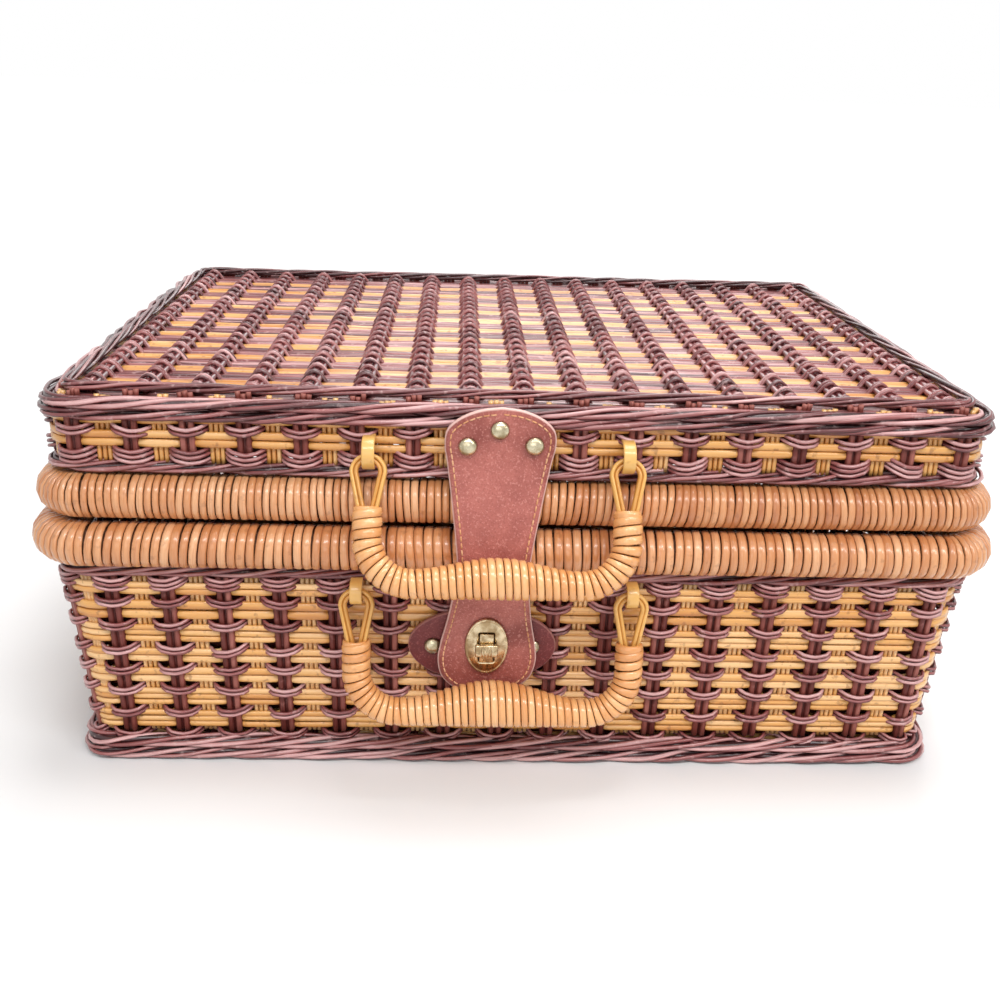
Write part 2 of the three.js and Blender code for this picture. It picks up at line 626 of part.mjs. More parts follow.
const baseTwineOut = BASE_WALL_OUT - WALL / 2;
const baseTwine = trayRing(0, oval(TWINE_W / 2, TWINE_H / 2, ROUND - 2, baseTwineOut, BASE_TWINE_Z));
piece("base_twine_band", cut(baseTwine, [...hingeNotches.base, ...lowerSlots]), WILLOW);

/** Rod and cane sleeve of a rim. */
function addRim(label, inset, z) {
  const coreR = (RIM_R - CANE) * Math.cos(Math.PI / ROUND) - CLEAR;
  piece(`${label}_rim_core`, trayRing(inset, oval(coreR, coreR, ROD_SIDES, 0, z)), ROD);
  const [outer, inner] = [RIM_R, RIM_R - CANE].map((radius) => oval(radius, radius, ROUND, 0, z));
  piece(`${label}_rim_wrap`, pipe(trayFrames(inset, WRAP_SEAM), outer, inner), LACQUERED);
}
addRim("base", 0, RIM_Z);
addRim("lid", LID_INSET, LID_RIM_Z);

// Lid
const tongueFlat = LID_HALF_Y + ROPE_OUT + ROPE_R + SEAT; // tongue's back, before the lid's wall
const lidRivetHoles = TONGUE_RIVETS.map(([x, down]) =>
  barOut(RIVET_SHANK + CLEAR, LID_FRONT - 2 * WALL, tongueFlat + 2 * WALL, HANDLE_X + x, ROPE_Z - down),
);
const lidWallIn = LID_WALL_OUT - WALL;
const lidWallSection = [
  [lidWallIn, LID_WALL_Z0],
  [LID_WALL_OUT, LID_WALL_Z0],
  [LID_WALL_OUT, LID_WALL_Z1],
  [lidWallIn, LID_WALL_Z1],
];
const lidWall = trayRing(LID_INSET, lidWallSection);
const lidTwineOut = LID_WALL_OUT - WALL / 2;
const lidTwine = trayRing(LID_INSET, oval(TWINE_W / 2, TWINE_H / 2, ROUND - 2, lidTwineOut, LID_TWINE_Z));
piece("lid_wall", cut(lidWall, [...upperSlots, ...lidRivetHoles]), HONEY);
piece("lid_twine_band", cut(lidTwine, [...hingeNotches.lid, ...upperSlots]), WILLOW);
const topRope = trayRing(LID_INSET, oval(ROPE_R, ROPE_R, ROUND, ROPE_OUT, ROPE_Z));
piece("lid_top_rope", cut(topRope, lidRivetHoles), WILLOW);
piece("lid_edge_rope", trayRing(LID_INSET, oval(EDGE_R, EDGE_R, ROUND - 4, -EDGE_INSET, EDGE_Z)), WILLOW);
const lidBack = LID_FRONT - WALL; // lid wall's inner face at the front
const burrRooms = TONGUE_RIVETS.map(([x, down]) =>
  barOut(RIVET_BURR + CLEAR, lidBack - RIVET_BURR_H - 2 * CLEAR, LID_FRONT, HANDLE_X + x, ROPE_Z - down),
);
const panelSlab = traySlab(LID_INSET - ROPE_OUT + ROPE_R + CLEAR, PANEL_Z1 - PANEL, PANEL_Z1);
piece("lid_panel", cut(panelSlab, burrRooms), HONEY);

const stakeInset = LID_INSET + EDGE_INSET + EDGE_R + CLEAR;
const stakeSpan = 2 * (RIM_HALF_X - stakeInset - STAKE_END) - STAKE_W;

/** Half length of a stake that ends at the thin rope, also where the rope rounds a corner. */
function stakeHalf(x) {
  const corner = RIM_CORNER - stakeInset;
  const past = Math.max(0, Math.abs(x) + STAKE_W / 2 - (RIM_HALF_X - stakeInset - corner));
  return RIM_HALF_Y - stakeInset - corner + Math.sqrt(corner ** 2 - past ** 2);
}
const stakeShape = new THREE.Shape();
stakeShape.moveTo(-STAKE_W / 2, 0);
stakeShape.lineTo(STAKE_W / 2, 0);
stakeShape.quadraticCurveTo(STAKE_W / 2, STAKE_H, 0, STAKE_H);
stakeShape.quadraticCurveTo(-STAKE_W / 2, STAKE_H, -STAKE_W / 2, 0);
for (let k = 0; k < STAKES; k += 1) {
  const x = (k / (STAKES - 1) - 0.5) * stakeSpan;
  const bar = plateOut(stakeShape, -stakeHalf(x), stakeHalf(x), BEND_STEPS);
  piece(`lid_stake_${String(k + 1).padStart(2, "0")}`, bar, WILLOW).position.set(x, 0, PANEL_Z1 + CLEAR);
}

// Leather tongue: [height, half width, distance of its back before the middle of the basket]
const baseRimBack = RIM_HALF_Y + RIM_R + SEAT;
const TONGUE = [
  ...TONGUE_HEAD.map(([down, half]) => [TONGUE_Z - down, half, tongueFlat]),
  [LID_RIM_Z, TONGUE_LID_RIM, LID_HALF_Y + RIM_R + 2 * SEAT],
  [RIM_Z, TONGUE_BASE_RIM, baseRimBack],
  [RIM_Z - TONGUE_WAIST[0], TONGUE_WAIST[1], baseRimBack - LEATHER / 2],
  ...TONGUE_LOBE.map(([up, half]) => [LOCK_Z + up, half, lobeFront(LOCK_Z + up) - LEATHER]),
];

/** Sheet of leather along the tongue's stations. */
function tongueSheet() {
  const line = new THREE.CatmullRomCurve3(TONGUE.map(([z, half, back]) => new THREE.Vector3(half, -back, z)));
  const rows = line.getPoints(TONGUE_ROWS);
  const frames = rows.map((row, i) => {
    const ahead = rows[Math.min(i + 1, TONGUE_ROWS)];
    const behind = rows[Math.max(i - 1, 0)];
    const out = new THREE.Vector3(0, -(behind.z - ahead.z), behind.y - ahead.y).normalize();
    const share = (TONGUE_Z - row.z) / (TONGUE_Z - LOCK_Z);
    const x = HANDLE_X + TONGUE_X[0] + share * (TONGUE_X[1] - TONGUE_X[0]);
    return { at: new THREE.Vector3(x, row.y, row.z), u: new THREE.Vector3(1, 0, 0), v: out };
  });
  const section = (i) => [[-rows[i].x, 0], [rows[i].x, 0], [rows[i].x, LEATHER], [-rows[i].x, LEATHER]];
  return sweep(frames, section, false);
}
const throughSlot = boxBetween(
  [LOCK_X - SLOT_W / 2, -KNOB_OUT, -SLOT_H / 2],
  [LOCK_X + SLOT_W / 2, -FLANGE_OUT, SLOT_H / 2],
);
const dentOut = PATCH_OUT + PATCH_T + RIVET_H + 2 * CLEAR;
const dents = [-PATCH_RIVET_X, PATCH_RIVET_X].map((x) =>
  inClasp(barOut(RIVET_R + CLEAR, PATCH_OUT, dentOut, PATCH_SHIFT + x, -PATCH_DOWN)),
);
const tongueCuts = [...lidRivetHoles, ...dents, inClasp(throughSlot.clone())];
piece("tongue_leather", cut(tongueSheet(), tongueCuts), LEATHER_BROWN);

TONGUE_RIVETS.forEach(([x, down], k) => {
  const stack = tongueFlat + LEATHER - lidBack;
  const stud = piece(`tongue_rivet_${["left", "top", "right"][k]}`, rivet(stack), BRASS);
  stud.position.set(HANDLE_X + x, -lidBack, ROPE_Z - down);
});

// Clasp patch and its rivets
const patchShape = new THREE.Shape();
patchShape.absellipse(0, 0, PATCH_HALF_X, PATCH_HALF_Z, 0, 2 * Math.PI);
const patchSheet = plateOut(patchShape, PATCH_OUT, PATCH_OUT + PATCH_T);
patchSheet.translate(PATCH_SHIFT, 0, -PATCH_DOWN);
const patchBores = [-PATCH_RIVET_X, PATCH_RIVET_X].map((x) =>
  barOut(RIVET_SHANK + CLEAR, -WALL, WALL, PATCH_SHIFT + x, -PATCH_DOWN),
);
const patchStemBore = barOut(STEM_R + CLEAR, -WALL, WALL, LOCK_X);
piece("clasp_patch", cut(patchSheet, [...patchBores, patchStemBore]), LEATHER_BROWN, clasp);
for (const [side, x] of [["left", -PATCH_RIVET_X], ["right", PATCH_RIVET_X]]) {
  const stud = piece(`patch_rivet_${side}`, rivet(PATCH_RIVET_STACK), BRASS, clasp);
  stud.position.set(PATCH_SHIFT + x, WALL, -PATCH_DOWN);
}

// Turn-lock: base with its boss through the tongue, back plate inside the wall, and the knob
const [bossW, bossH] = [SLOT_W - 2 * BOSS_FIT, SLOT_H - 2 * BOSS_FIT];
const flangeShape = roundRect(bossW + 2 * FLANGE, bossH + 2 * FLANGE, FLANGE);
const flange = plateOut(flangeShape, FLANGE_OUT, FLANGE_OUT + FLANGE_T, BEND_STEPS);
const boss = plateOut(roundRect(bossW, bossH, FLANGE / 2), FLANGE_OUT, KNOB_OUT - CLEAR, BEND_STEPS);
const stemEnd = -WALL - 3 * CLEAR - FLANGE_T;
const stem = barOut(STEM_R, stemEnd, FLANGE_OUT + FLANGE_T / 2);
const lockBase = cut(join(flange, boss, stem), [barOut(POST_R + POST_FIT, stemEnd - CLEAR, KNOB_OUT)]);
piece("turnlock_base", lockBase, BRASS, clasp).position.x = LOCK_X;

const backShape = new THREE.Shape();
backShape.absellipse(0, 0, PLATE_HALF_X, PLATE_HALF_Z, 0, 2 * Math.PI);
const backSheet = plateOut(backShape, -WALL - CLEAR - FLANGE_T, -WALL - CLEAR);
const backBore = barOut(STEM_R + CLEAR, -2 * WALL, 0);
piece("turnlock_back_plate", cut(backSheet, [backBore]), BRASS, clasp).position.x = LOCK_X;

const knobShape = roundRect(KNOB_LENGTH, KNOB_WIDTH, KNOB_WIDTH / 3);
const knobBar = plateOut(knobShape, KNOB_OUT, KNOB_OUT + KNOB_T, BEND_STEPS);
const knobPost = barOut(POST_R, stemEnd - CLEAR - FLANGE_T / 2, KNOB_OUT + KNOB_T / 2);
const knobEnd = barOut(STEM_R, stemEnd - CLEAR - FLANGE_T, stemEnd - CLEAR);
piece("turn_knob", join(knobBar, knobPost, knobEnd), BRASS, clasp).position.x = LOCK_X;

// Oval plate on the tongue, with its slot, and its back ring behind the leather
const plateProfile = [[0, 0], [PLATE_HALF_Z, 0], ...domeProfile(PLATE_HALF_Z, PLATE_EDGE, PLATE_DOME)].map(
  ([radius, out]) => new THREE.Vector2(radius, out),
);
const plateDome = new THREE.LatheGeometry(plateProfile, 2 * ROUND).rotateX(Math.PI);
plateDome.scale(PLATE_HALF_X / PLATE_HALF_Z, 1, 1).translate(LOCK_X, -PLATE_OUT, 0);
piece("tongue_plate", cut(plateDome, [throughSlot]), BRASS, clasp);

const ringHole = [bossW + 2 * FLANGE + 2 * RING_BORDER, bossH + 2 * FLANGE + 2 * RING_BORDER];
const ringShape = new THREE.Shape();
ringShape.absellipse(0, 0, PLATE_HALF_X - RING_BORDER, PLATE_HALF_Z - RING_BORDER, 0, 2 * Math.PI);
ringShape.holes.push(roundRect(...ringHole, FLANGE, THREE.Path));
const backRing = plateOut(ringShape, FLANGE_OUT, FLANGE_OUT + FLANGE_T, ROD_SIDES);
piece("tongue_back_ring", backRing, BRASS, clasp).position.x = LOCK_X;

// The origin moves to the middle of the floor that the basket covers
tray.updateMatrixWorld(true);
const covered = new THREE.Box3().setFromObject(tray, true);
const middle = covered.getCenter(new THREE.Vector3());
tray.position.set(-middle.x, -middle.y, -covered.min.z);

const basket = new THREE.Group();
basket.add(tray);
export default basket;
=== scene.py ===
"""Looks of a woven picnic basket, modelled round its packed construction.

Metres, +Z up, front towards -Y. Rods, strands and wound cane are swept along their real paths, so the weave,
the rope borders and the wound rims are geometry; leather and brass are modelled as sheets, domes and plates.
"""

import json
import logging
import math
from dataclasses import dataclass
from enum import Enum
from typing import Sequence

import bmesh
import bpy
import numpy as np
from mathutils import Matrix, Vector


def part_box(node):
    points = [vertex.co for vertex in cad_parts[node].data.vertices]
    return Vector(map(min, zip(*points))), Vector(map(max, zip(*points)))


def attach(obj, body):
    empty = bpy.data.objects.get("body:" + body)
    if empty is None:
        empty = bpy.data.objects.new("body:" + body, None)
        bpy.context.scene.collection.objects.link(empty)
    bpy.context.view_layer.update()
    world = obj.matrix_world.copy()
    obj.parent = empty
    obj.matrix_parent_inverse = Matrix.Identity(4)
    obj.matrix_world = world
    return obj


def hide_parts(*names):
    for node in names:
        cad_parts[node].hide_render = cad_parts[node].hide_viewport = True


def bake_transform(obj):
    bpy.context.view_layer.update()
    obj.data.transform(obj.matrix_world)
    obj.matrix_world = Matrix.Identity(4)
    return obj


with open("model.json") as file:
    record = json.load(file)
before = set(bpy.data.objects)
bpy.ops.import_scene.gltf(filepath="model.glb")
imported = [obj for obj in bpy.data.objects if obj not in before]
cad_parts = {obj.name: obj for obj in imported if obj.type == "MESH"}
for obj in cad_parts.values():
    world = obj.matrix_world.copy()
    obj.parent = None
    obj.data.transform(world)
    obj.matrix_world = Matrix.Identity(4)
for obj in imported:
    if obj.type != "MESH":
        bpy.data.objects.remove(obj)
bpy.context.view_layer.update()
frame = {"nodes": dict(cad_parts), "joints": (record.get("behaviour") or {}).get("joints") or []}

LOG = logging.getLogger("basket")
MM = 0.001
SEED = 17

Array = np.ndarray
Amount = float | np.ndarray
Colour = tuple[float, float, float]
# A span is the least and the most of what varies, or a pair of sizes
Span = tuple[float, float]
Waves = tuple[int, int]
Random = np.random.Generator
Piece = bpy.types.Object


def middle_of(node: str) -> tuple[float, ...]:
    """Middle of a construction node's box."""
    return tuple((low + high) / 2 for low, high in zip(*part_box(node)))


def size_of(node: str) -> tuple[float, ...]:
    """Width, depth and height of a construction node's box."""
    return tuple(high - low for low, high in zip(*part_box(node)))


JOINTS = {joint["name"]: joint for joint in frame["joints"]}
_, MIDDLE_Y, BASE_RIM_Z = middle_of("base_rim_wrap")
LID_RIM_Z = middle_of("lid_rim_wrap")[2]
RIM_R = size_of("base_rim_wrap")[2] / 2
HINGE_X = middle_of("hinge_loop_right")[0]
HINGE_W = size_of("hinge_loop_right")[0]
CLASP_X = JOINTS["upper_handle_swing"]["pos_m"][0]
WALL = 9 * MM
LEATHER = 2.6 * MM
LID_INSET = 4 * MM


class Slot(Enum):
    """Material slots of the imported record."""

    WILLOW = "willow"
    HONEY = "honey_cane"
    LACQUER = "lacquered_cane"
    ROD = "rod"
    LEATHER = "leather"
    BRASS = "brass"


def tone(red: int, green: int, blue: int) -> Colour:
    """Linear colour of a screen colour, whose values run from 0 to 255."""
    values = (channel / 255 for channel in (red, green, blue))
    return tuple(v / 12.92 if v <= 0.04045 else ((v + 0.055) / 1.055) ** 2.4 for v in values)


# Shader maths


class Wire:
    """A shader socket that adds Math nodes where it is used in an expression."""

    def __init__(self, shader: "Shader", socket: bpy.types.NodeSocket) -> None:
        """Keeps the socket with the shader that it belongs to."""
        self.shader = shader
        self.socket = socket

    def maths(self, operation: str, first: "Wire | float", second: "Wire | float") -> "Wire":
        """Adds one Math node, and gives its result."""
        return self.shader.node("ShaderNodeMath", {"operation": operation}, {0: first, 1: second})

    def __add__(self, other: "Wire | float") -> "Wire":
        """Sum."""
        return self.maths("ADD", self, other)

    __radd__ = __add__

    def __sub__(self, other: "Wire | float") -> "Wire":
        """Difference."""
        return self.maths("SUBTRACT", self, other)

    def __rsub__(self, other: "Wire | float") -> "Wire":
        """Difference from a number."""
        return self.maths("SUBTRACT", other, self)

    def __mul__(self, other: "Wire | float") -> "Wire":
        """Product."""
        return self.maths("MULTIPLY", self, other)

    __rmul__ = __mul__

    def between(self, low: float, high: float) -> "Wire":
        """Rises from 0 at low to 1 at high, and stays there."""
        settings = {"interpolation_type": "SMOOTHSTEP"}
        return self.shader.node("ShaderNodeMapRange", settings, {"Value": self, 1: low, 2: high})


class Shader:
    """The nodes of one material or world, with the shader that they feed."""

    def __init__(
        self, owner: "bpy.types.Material | bpy.types.World", surface: str = "Principled BSDF"
    ) -> None:
        """Starts the nodes of a new material or world, which end in the shader of that name."""
        owner.use_nodes = True
        self.owner = owner
        self.tree = owner.node_tree
        self.surface = self.tree.nodes[surface]

    def node(
        self, kind: str, settings: dict | None = None, inputs: dict | None = None, output: int | str = 0
    ) -> Wire:
        """Adds any node.

        Args:
            kind: The node's type.
            settings: Its properties, or a ramp's stops as (place, colour) pairs under "stops".
            inputs: Values or wires for its sockets, by name or number.
            output: Which of its outputs is wanted.

        Returns:
            That output.
        """
        made = self.tree.nodes.new(kind)
        for key, value in (settings or {}).items():
            if key == "stops":
                self.set_stops(made.color_ramp, value)
            else:
                setattr(made, key, value)
        for key, value in (inputs or {}).items():
            self.feed(made.inputs[key], value)
        return Wire(self, made.outputs[output])

    @staticmethod
    def set_stops(ramp: bpy.types.ColorRamp, stops: Sequence[tuple[float, Colour]]) -> None:
        """Gives a ramp its stops."""
        while len(ramp.elements) < len(stops):
            ramp.elements.new(1.0)
        for element, (place, colour) in zip(ramp.elements, stops):
            element.position = place
            element.color = (*colour, 1.0)

    def feed(self, socket: bpy.types.NodeSocket, value: "Wire | float | Sequence[float]") -> None:
        """Sets a socket to a value or links it to a wire."""
        if isinstance(value, Wire):
            self.tree.links.new(value.socket, socket)
        elif socket.type == "RGBA" and len(value) == 3:
            socket.default_value = (*value, 1.0)
        else:
            socket.default_value = value

    def set(self, **inputs: "Wire | float | Sequence[float]") -> None:
        """Feeds the shader's sockets, with underscores for spaces in their names."""
        for key, value in inputs.items():
            self.feed(self.surface.inputs[key.replace("_", " ")], value)

    def place(self) -> Wire:
        """Object coordinates."""
        return self.node("ShaderNodeTexCoord", output="Object")

    def attribute(self, name: str) -> Wire:
        """A float attribute of the mesh."""
        return self.node("ShaderNodeAttribute", {"attribute_name": name}, output="Fac")

    def along_strand(self, per_metre: float, around: float) -> Wire:
        """Coordinates on a strand: its length times per_metre, and round it times around."""
        uv = self.node("ShaderNodeUVMap", {"uv_map": "UVMap"})
        return self.node("ShaderNodeMapping", inputs={"Vector": uv, "Scale": (per_metre, around, 1.0)})

    def noise(self, vector: Wire, scale: float = 1.0, detail: float = 3.0, rough: float = 0.55) -> Wire:
        """Noise from 0 to 1."""
        inputs = {"Vector": vector, "Scale": scale, "Detail": detail, "Roughness": rough}
        return self.node("ShaderNodeTexNoise", inputs=inputs)

    def ramp(self, factor: Wire, stops: Sequence[tuple[float, Colour]]) -> Wire:
        """Colour from stops along a factor."""
        return self.node("ShaderNodeValToRGB", {"stops": stops}, {"Fac": factor})

    def mix(self, factor: "Wire | float", first: "Wire | Colour", second: "Wire | Colour") -> Wire:
        """Mix of two colours."""
        settings = {"data_type": "RGBA", "blend_type": "MIX"}
        return self.node("ShaderNodeMix", settings, {0: factor, 6: first, 7: second}, output=2)

    def bump(self, height: Wire, distance: float) -> None:
        """Feeds the Normal socket from a height."""
        self.set(Normal=self.node("ShaderNodeBump", inputs={"Height": height, "Distance": distance}))

    def seen_white(self) -> Wire:
        """1 for the rays that see white: the camera's, and those off metal and through glass."""
        seen = self.node("ShaderNodeLightPath", output="Is Camera Ray")
        for kind in ("Is Glossy Ray", "Is Transmission Ray"):
            seen = seen.maths("MAXIMUM", seen, self.node("ShaderNodeLightPath", output=kind))
        return seen


# Finishes


@dataclass(frozen=True)
class StrandFinish:
    """Willow or cane in strands: each has its own shade, with streaks along it and small marks.

    The mesh gives each strand its shade, from 0, the darkest, to 1, the palest. Grains are given by the
    metre along a strand and round it.
    """

    name: str
    slot: Slot
    shades: tuple[Colour, ...]
    streak: Colour
    mark: Colour
    roughness: float
    coat: float = 0.0
    streak_share: float = 0.5
    mark_share: float = 0.5
    grain_depth: float = 0.2 * MM
    specular: float = 0.5
    body_grain: Span = (70.0, 4.0)
    body_varies: float = 0.6
    body_relief: float = 0.6
    fibre_grain: Span = (22.0, 14.0)
    fibre_rough: float = 0.25
    streak_edge: Span = (0.48, 0.75)
    mark_scale: float = 260.0
    mark_edge: Span = (0.6, 0.72)
    mark_rough: float = 0.15
    coat_rough: float = 0.14

    def build(self) -> bpy.types.Material:
        """Makes the material."""
        shader = Shader(bpy.data.materials.new(self.name))
        last = len(self.shades) - 1
        stops = [(k / last, colour) for k, colour in enumerate(self.shades)]
        shade = shader.attribute("shade")
        along = shader.noise(shader.along_strand(*self.body_grain), detail=4.0)
        body = shader.ramp(shade + (along - 0.5) * self.body_varies, stops)
        fibres = shader.noise(shader.along_strand(*self.fibre_grain))
        streaked = shader.mix(fibres.between(*self.streak_edge) * self.streak_share, body, self.streak)
        spots = shader.noise(shader.place(), self.mark_scale, 2.0)
        marks = spots.between(*self.mark_edge) * self.mark_share
        shader.set(Base_Color=shader.mix(marks, streaked, self.mark))
        shader.set(Roughness=self.roughness + (fibres - 0.5) * self.fibre_rough + marks * self.mark_rough)
        shader.set(Coat_Weight=self.coat, Coat_Roughness=self.coat_rough, Specular_IOR_Level=self.specular)
        shader.bump(fibres + along * self.body_relief, self.grain_depth)
        return shader.owner


@dataclass(frozen=True)
class LeatherFinish:
    """Stiff leather with a fine speckled grain, darker scuffed patches and a pale raw edge.

    The mesh gives each point its distance from the cut edge, in metres.
    """

    name: str
    body: Colour
    dark: Colour
    speck: Colour
    edge: Colour
    slot: Slot = Slot.LEATHER
    grain_scale: float = 1300.0
    grain_edge: Span = (0.5, 0.68)
    fleck_scale: float = 900.0
    fleck_edge: Span = (0.54, 0.66)
    cloud_scale: float = 45.0
    cloud_edge: Span = (0.3, 0.72)
    share: float = 0.5
    fleck_relief: float = 0.6
    cloud_relief: float = 0.4
    raw_edge: Span = (0.1 * MM, 0.75 * MM)
    roughness: float = 0.48
    grain_rough: float = 0.3
    specular: float = 0.45
    grain_depth: float = 0.2 * MM

    def build(self) -> bpy.types.Material:
        """Makes the material."""
        shader = Shader(bpy.data.materials.new(self.name))
        where = shader.place()
        grain = shader.noise(where, self.grain_scale, 3.0, 0.6)
        fleck = shader.noise(where, self.fleck_scale, 2.0, 0.7)
        cloud = shader.noise(where, self.cloud_scale, 4.0)
        hide = shader.mix(cloud.between(*self.cloud_edge), self.dark, self.body)
        grained = shader.mix(grain.between(*self.grain_edge) * self.share, hide, self.dark)
        flecked = shader.mix(fleck.between(*self.fleck_edge) * self.share, grained, self.speck)
        inside = shader.attribute("edge").between(*self.raw_edge)
        shader.set(Base_Color=shader.mix(inside, self.edge, flecked))
        shader.set(Roughness=self.roughness + (grain - 0.5) * self.grain_rough)
        shader.set(Specular_IOR_Level=self.specular)
        relief = grain + fleck * self.fleck_relief + cloud * self.cloud_relief
        shader.bump(relief, self.grain_depth)
        return shader.owner


@dataclass(frozen=True)
class BrassFinish:
    """Antique brass: warm metal with a brown patina and fine scratches."""

    name: str
    metal: Colour
    patina: Colour
    roughness: float
    slot: Slot = Slot.BRASS
    cloud_scale: float = 240.0
    worn_edge: Span = (0.35, 0.65)
    scratches: tuple[float, float, float] = (900.0, 900.0, 90.0)
    uneven: float = 0.16
    scratch_depth: float = 0.04 * MM

    def build(self) -> bpy.types.Material:
        """Makes the material."""
        shader = Shader(bpy.data.materials.new(self.name))
        where = shader.place()
        cloud = shader.noise(where, self.cloud_scale, 4.0)
        stretch = shader.node("ShaderNodeMapping", inputs={"Vector": where, "Scale": self.scratches})
        scratch = shader.noise(stretch, detail=2.0)
        sheen_and_rubbing = cloud.between(*self.worn_edge)
        shader.set(Base_Color=shader.mix(sheen_and_rubbing, self.patina, self.metal), Metallic=1.0)
        shader.set(Roughness=self.roughness + (1 - sheen_and_rubbing) * self.uneven + (scratch - 0.5) * self.uneven)
        shader.bump(scratch + cloud, self.scratch_depth)
        return shader.owner


HONEY = StrandFinish(
    "honey_cane_finish",
    Slot.HONEY,
    shades=(tone(176, 104, 44), tone(208, 142, 70), tone(226, 168, 94), tone(240, 194, 136)),
    streak=tone(184, 112, 50),
    mark=tone(126, 68, 30),
    roughness=0.33,
    coat=0.45,
)
EYE_CANE = StrandFinish(
    "eye_cane_finish",
    Slot.HONEY,
    shades=(tone(200, 134, 58), tone(224, 168, 86), tone(238, 194, 118)),
    streak=tone(194, 128, 56),
    mark=tone(150, 92, 40),
    roughness=0.34,
    coat=0.4,
    mark_share=0.3,
)
WILLOW = StrandFinish(
    "willow_finish",
    Slot.WILLOW,
    shades=(tone(52, 18, 21), tone(102, 43, 45), tone(152, 85, 83), tone(213, 165, 163)),
    streak=tone(66, 26, 27),
    mark=tone(224, 190, 186),
    roughness=0.3,
    coat=0.3,
    mark_share=0.3,
)
WILLOW_STAKE = StrandFinish(
    "willow_stake_finish",
    Slot.WILLOW,
    shades=(tone(56, 20, 18), tone(94, 40, 35), tone(130, 66, 57), tone(172, 108, 97)),
    streak=tone(56, 21, 20),
    mark=tone(176, 122, 116),
    roughness=0.45,
    mark_share=0.25,
    specular=0.3,
)
LACQUER = StrandFinish(
    "lacquered_cane_finish",
    Slot.LACQUER,
    shades=(tone(170, 98, 56), tone(200, 132, 83), tone(214, 150, 100), tone(228, 172, 126)),
    streak=tone(170, 98, 56),
    mark=tone(122, 66, 32),
    roughness=0.3,
    coat=0.5,
    mark_share=0.3,
)
HANDLE_CANE = StrandFinish(
    "handle_cane_finish",
    Slot.LACQUER,
    shades=(tone(202, 132, 72), tone(222, 154, 92), tone(234, 172, 110), tone(244, 190, 134)),
    streak=tone(204, 132, 72),
    mark=tone(138, 76, 34),
    roughness=0.26,
    coat=0.6,
    streak_share=0.4,
    mark_share=0.25,
)
THREAD = StrandFinish(
    "thread_finish",
    Slot.LEATHER,
    shades=(tone(206, 140, 96), tone(226, 166, 120), tone(236, 186, 146)),
    streak=tone(196, 128, 84),
    mark=tone(170, 106, 70),
    roughness=0.7,
)
ROD_WOOD = StrandFinish(
    "rod_finish",
    Slot.ROD,
    shades=(tone(84, 48, 28), tone(112, 68, 40)),
    streak=tone(70, 40, 22),
    mark=tone(60, 34, 18),
    roughness=0.7,
)
TONGUE_HIDE = LeatherFinish(
    "tongue_leather_finish",
    body=tone(182, 106, 96),
    dark=tone(136, 66, 58),
    speck=tone(214, 148, 138),
    edge=tone(228, 186, 176),
)
PATCH_HIDE = LeatherFinish(
    "patch_leather_finish",
    body=tone(124, 50, 50),
    dark=tone(96, 35, 36),
    speck=tone(160, 88, 86),
    edge=tone(178, 120, 112),
)
BRASS = BrassFinish("brass_finish", tone(216, 198, 164), tone(156, 132, 98), roughness=0.2)
RIVET_BRASS = BrassFinish("rivet_finish", tone(206, 196, 168), tone(152, 138, 108), roughness=0.22)
DARK_BRASS = BrassFinish("dark_brass_finish", tone(120, 98, 58), tone(62, 48, 28), roughness=0.4)
Finish = StrandFinish | LeatherFinish | BrassFinish
MATERIALS: dict[str, bpy.types.Material] = {}


def material_of(finish: Finish) -> bpy.types.Material:
    """The one material of a finish, made when it is first asked for."""
    if finish.name not in MATERIALS:
        MATERIALS[finish.name] = finish.build()
    return MATERIALS[finish.name]


def paint(mesh: bpy.types.Mesh, finish: Finish) -> None:
    """Gives a mesh the material of its finish, and no other."""
    mesh.materials.clear()
    mesh.materials.append(material_of(finish))


def dress(piece: Piece, finish: Finish, body: str, stands_for: Sequence[str] = ()) -> None:
    """Gives a new piece its finish, its body and the nodes that it stands for.

    Args:
        piece: The piece, in place.
        finish: Its finish.
        body: The body that it moves with.
        stands_for: Construction nodes that it replaces.
    """
    paint(piece.data, finish)
    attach(piece, body)
    if stands_for:
        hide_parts(*stands_for)
    LOG.info("%s: %d faces on %s", piece.name, len(piece.data.polygons), body)


def dress_node(name: str, finish: Finish) -> None:
    """Gives a construction node that stays in view its finish."""
    paint(frame["nodes"][name].data, finish)


def object_from(
    name: str, made: bmesh.types.BMesh, place: Matrix | None = None, smooth: bool = True
) -> Piece:
    """Turns a bmesh into an object at the origin, with its normals out.

    Args:
        name: The piece's name.
        made: The bmesh, which is freed.
        place: Where its mesh is moved to, if it isn't there yet.
        smooth: Whether its faces are shaded smooth.

    Returns:
        The object, linked to the scene.
    """
    bmesh.ops.recalc_face_normals(made, faces=made.faces)
    for face in made.faces:
        face.smooth = smooth
    mesh = bpy.data.meshes.new(name)
    made.to_mesh(mesh)
    made.free()
    if place:
        mesh.transform(place)
    piece = bpy.data.objects.new(name, mesh)
    bpy.context.scene.collection.objects.link(piece)
    return piece


# Strands


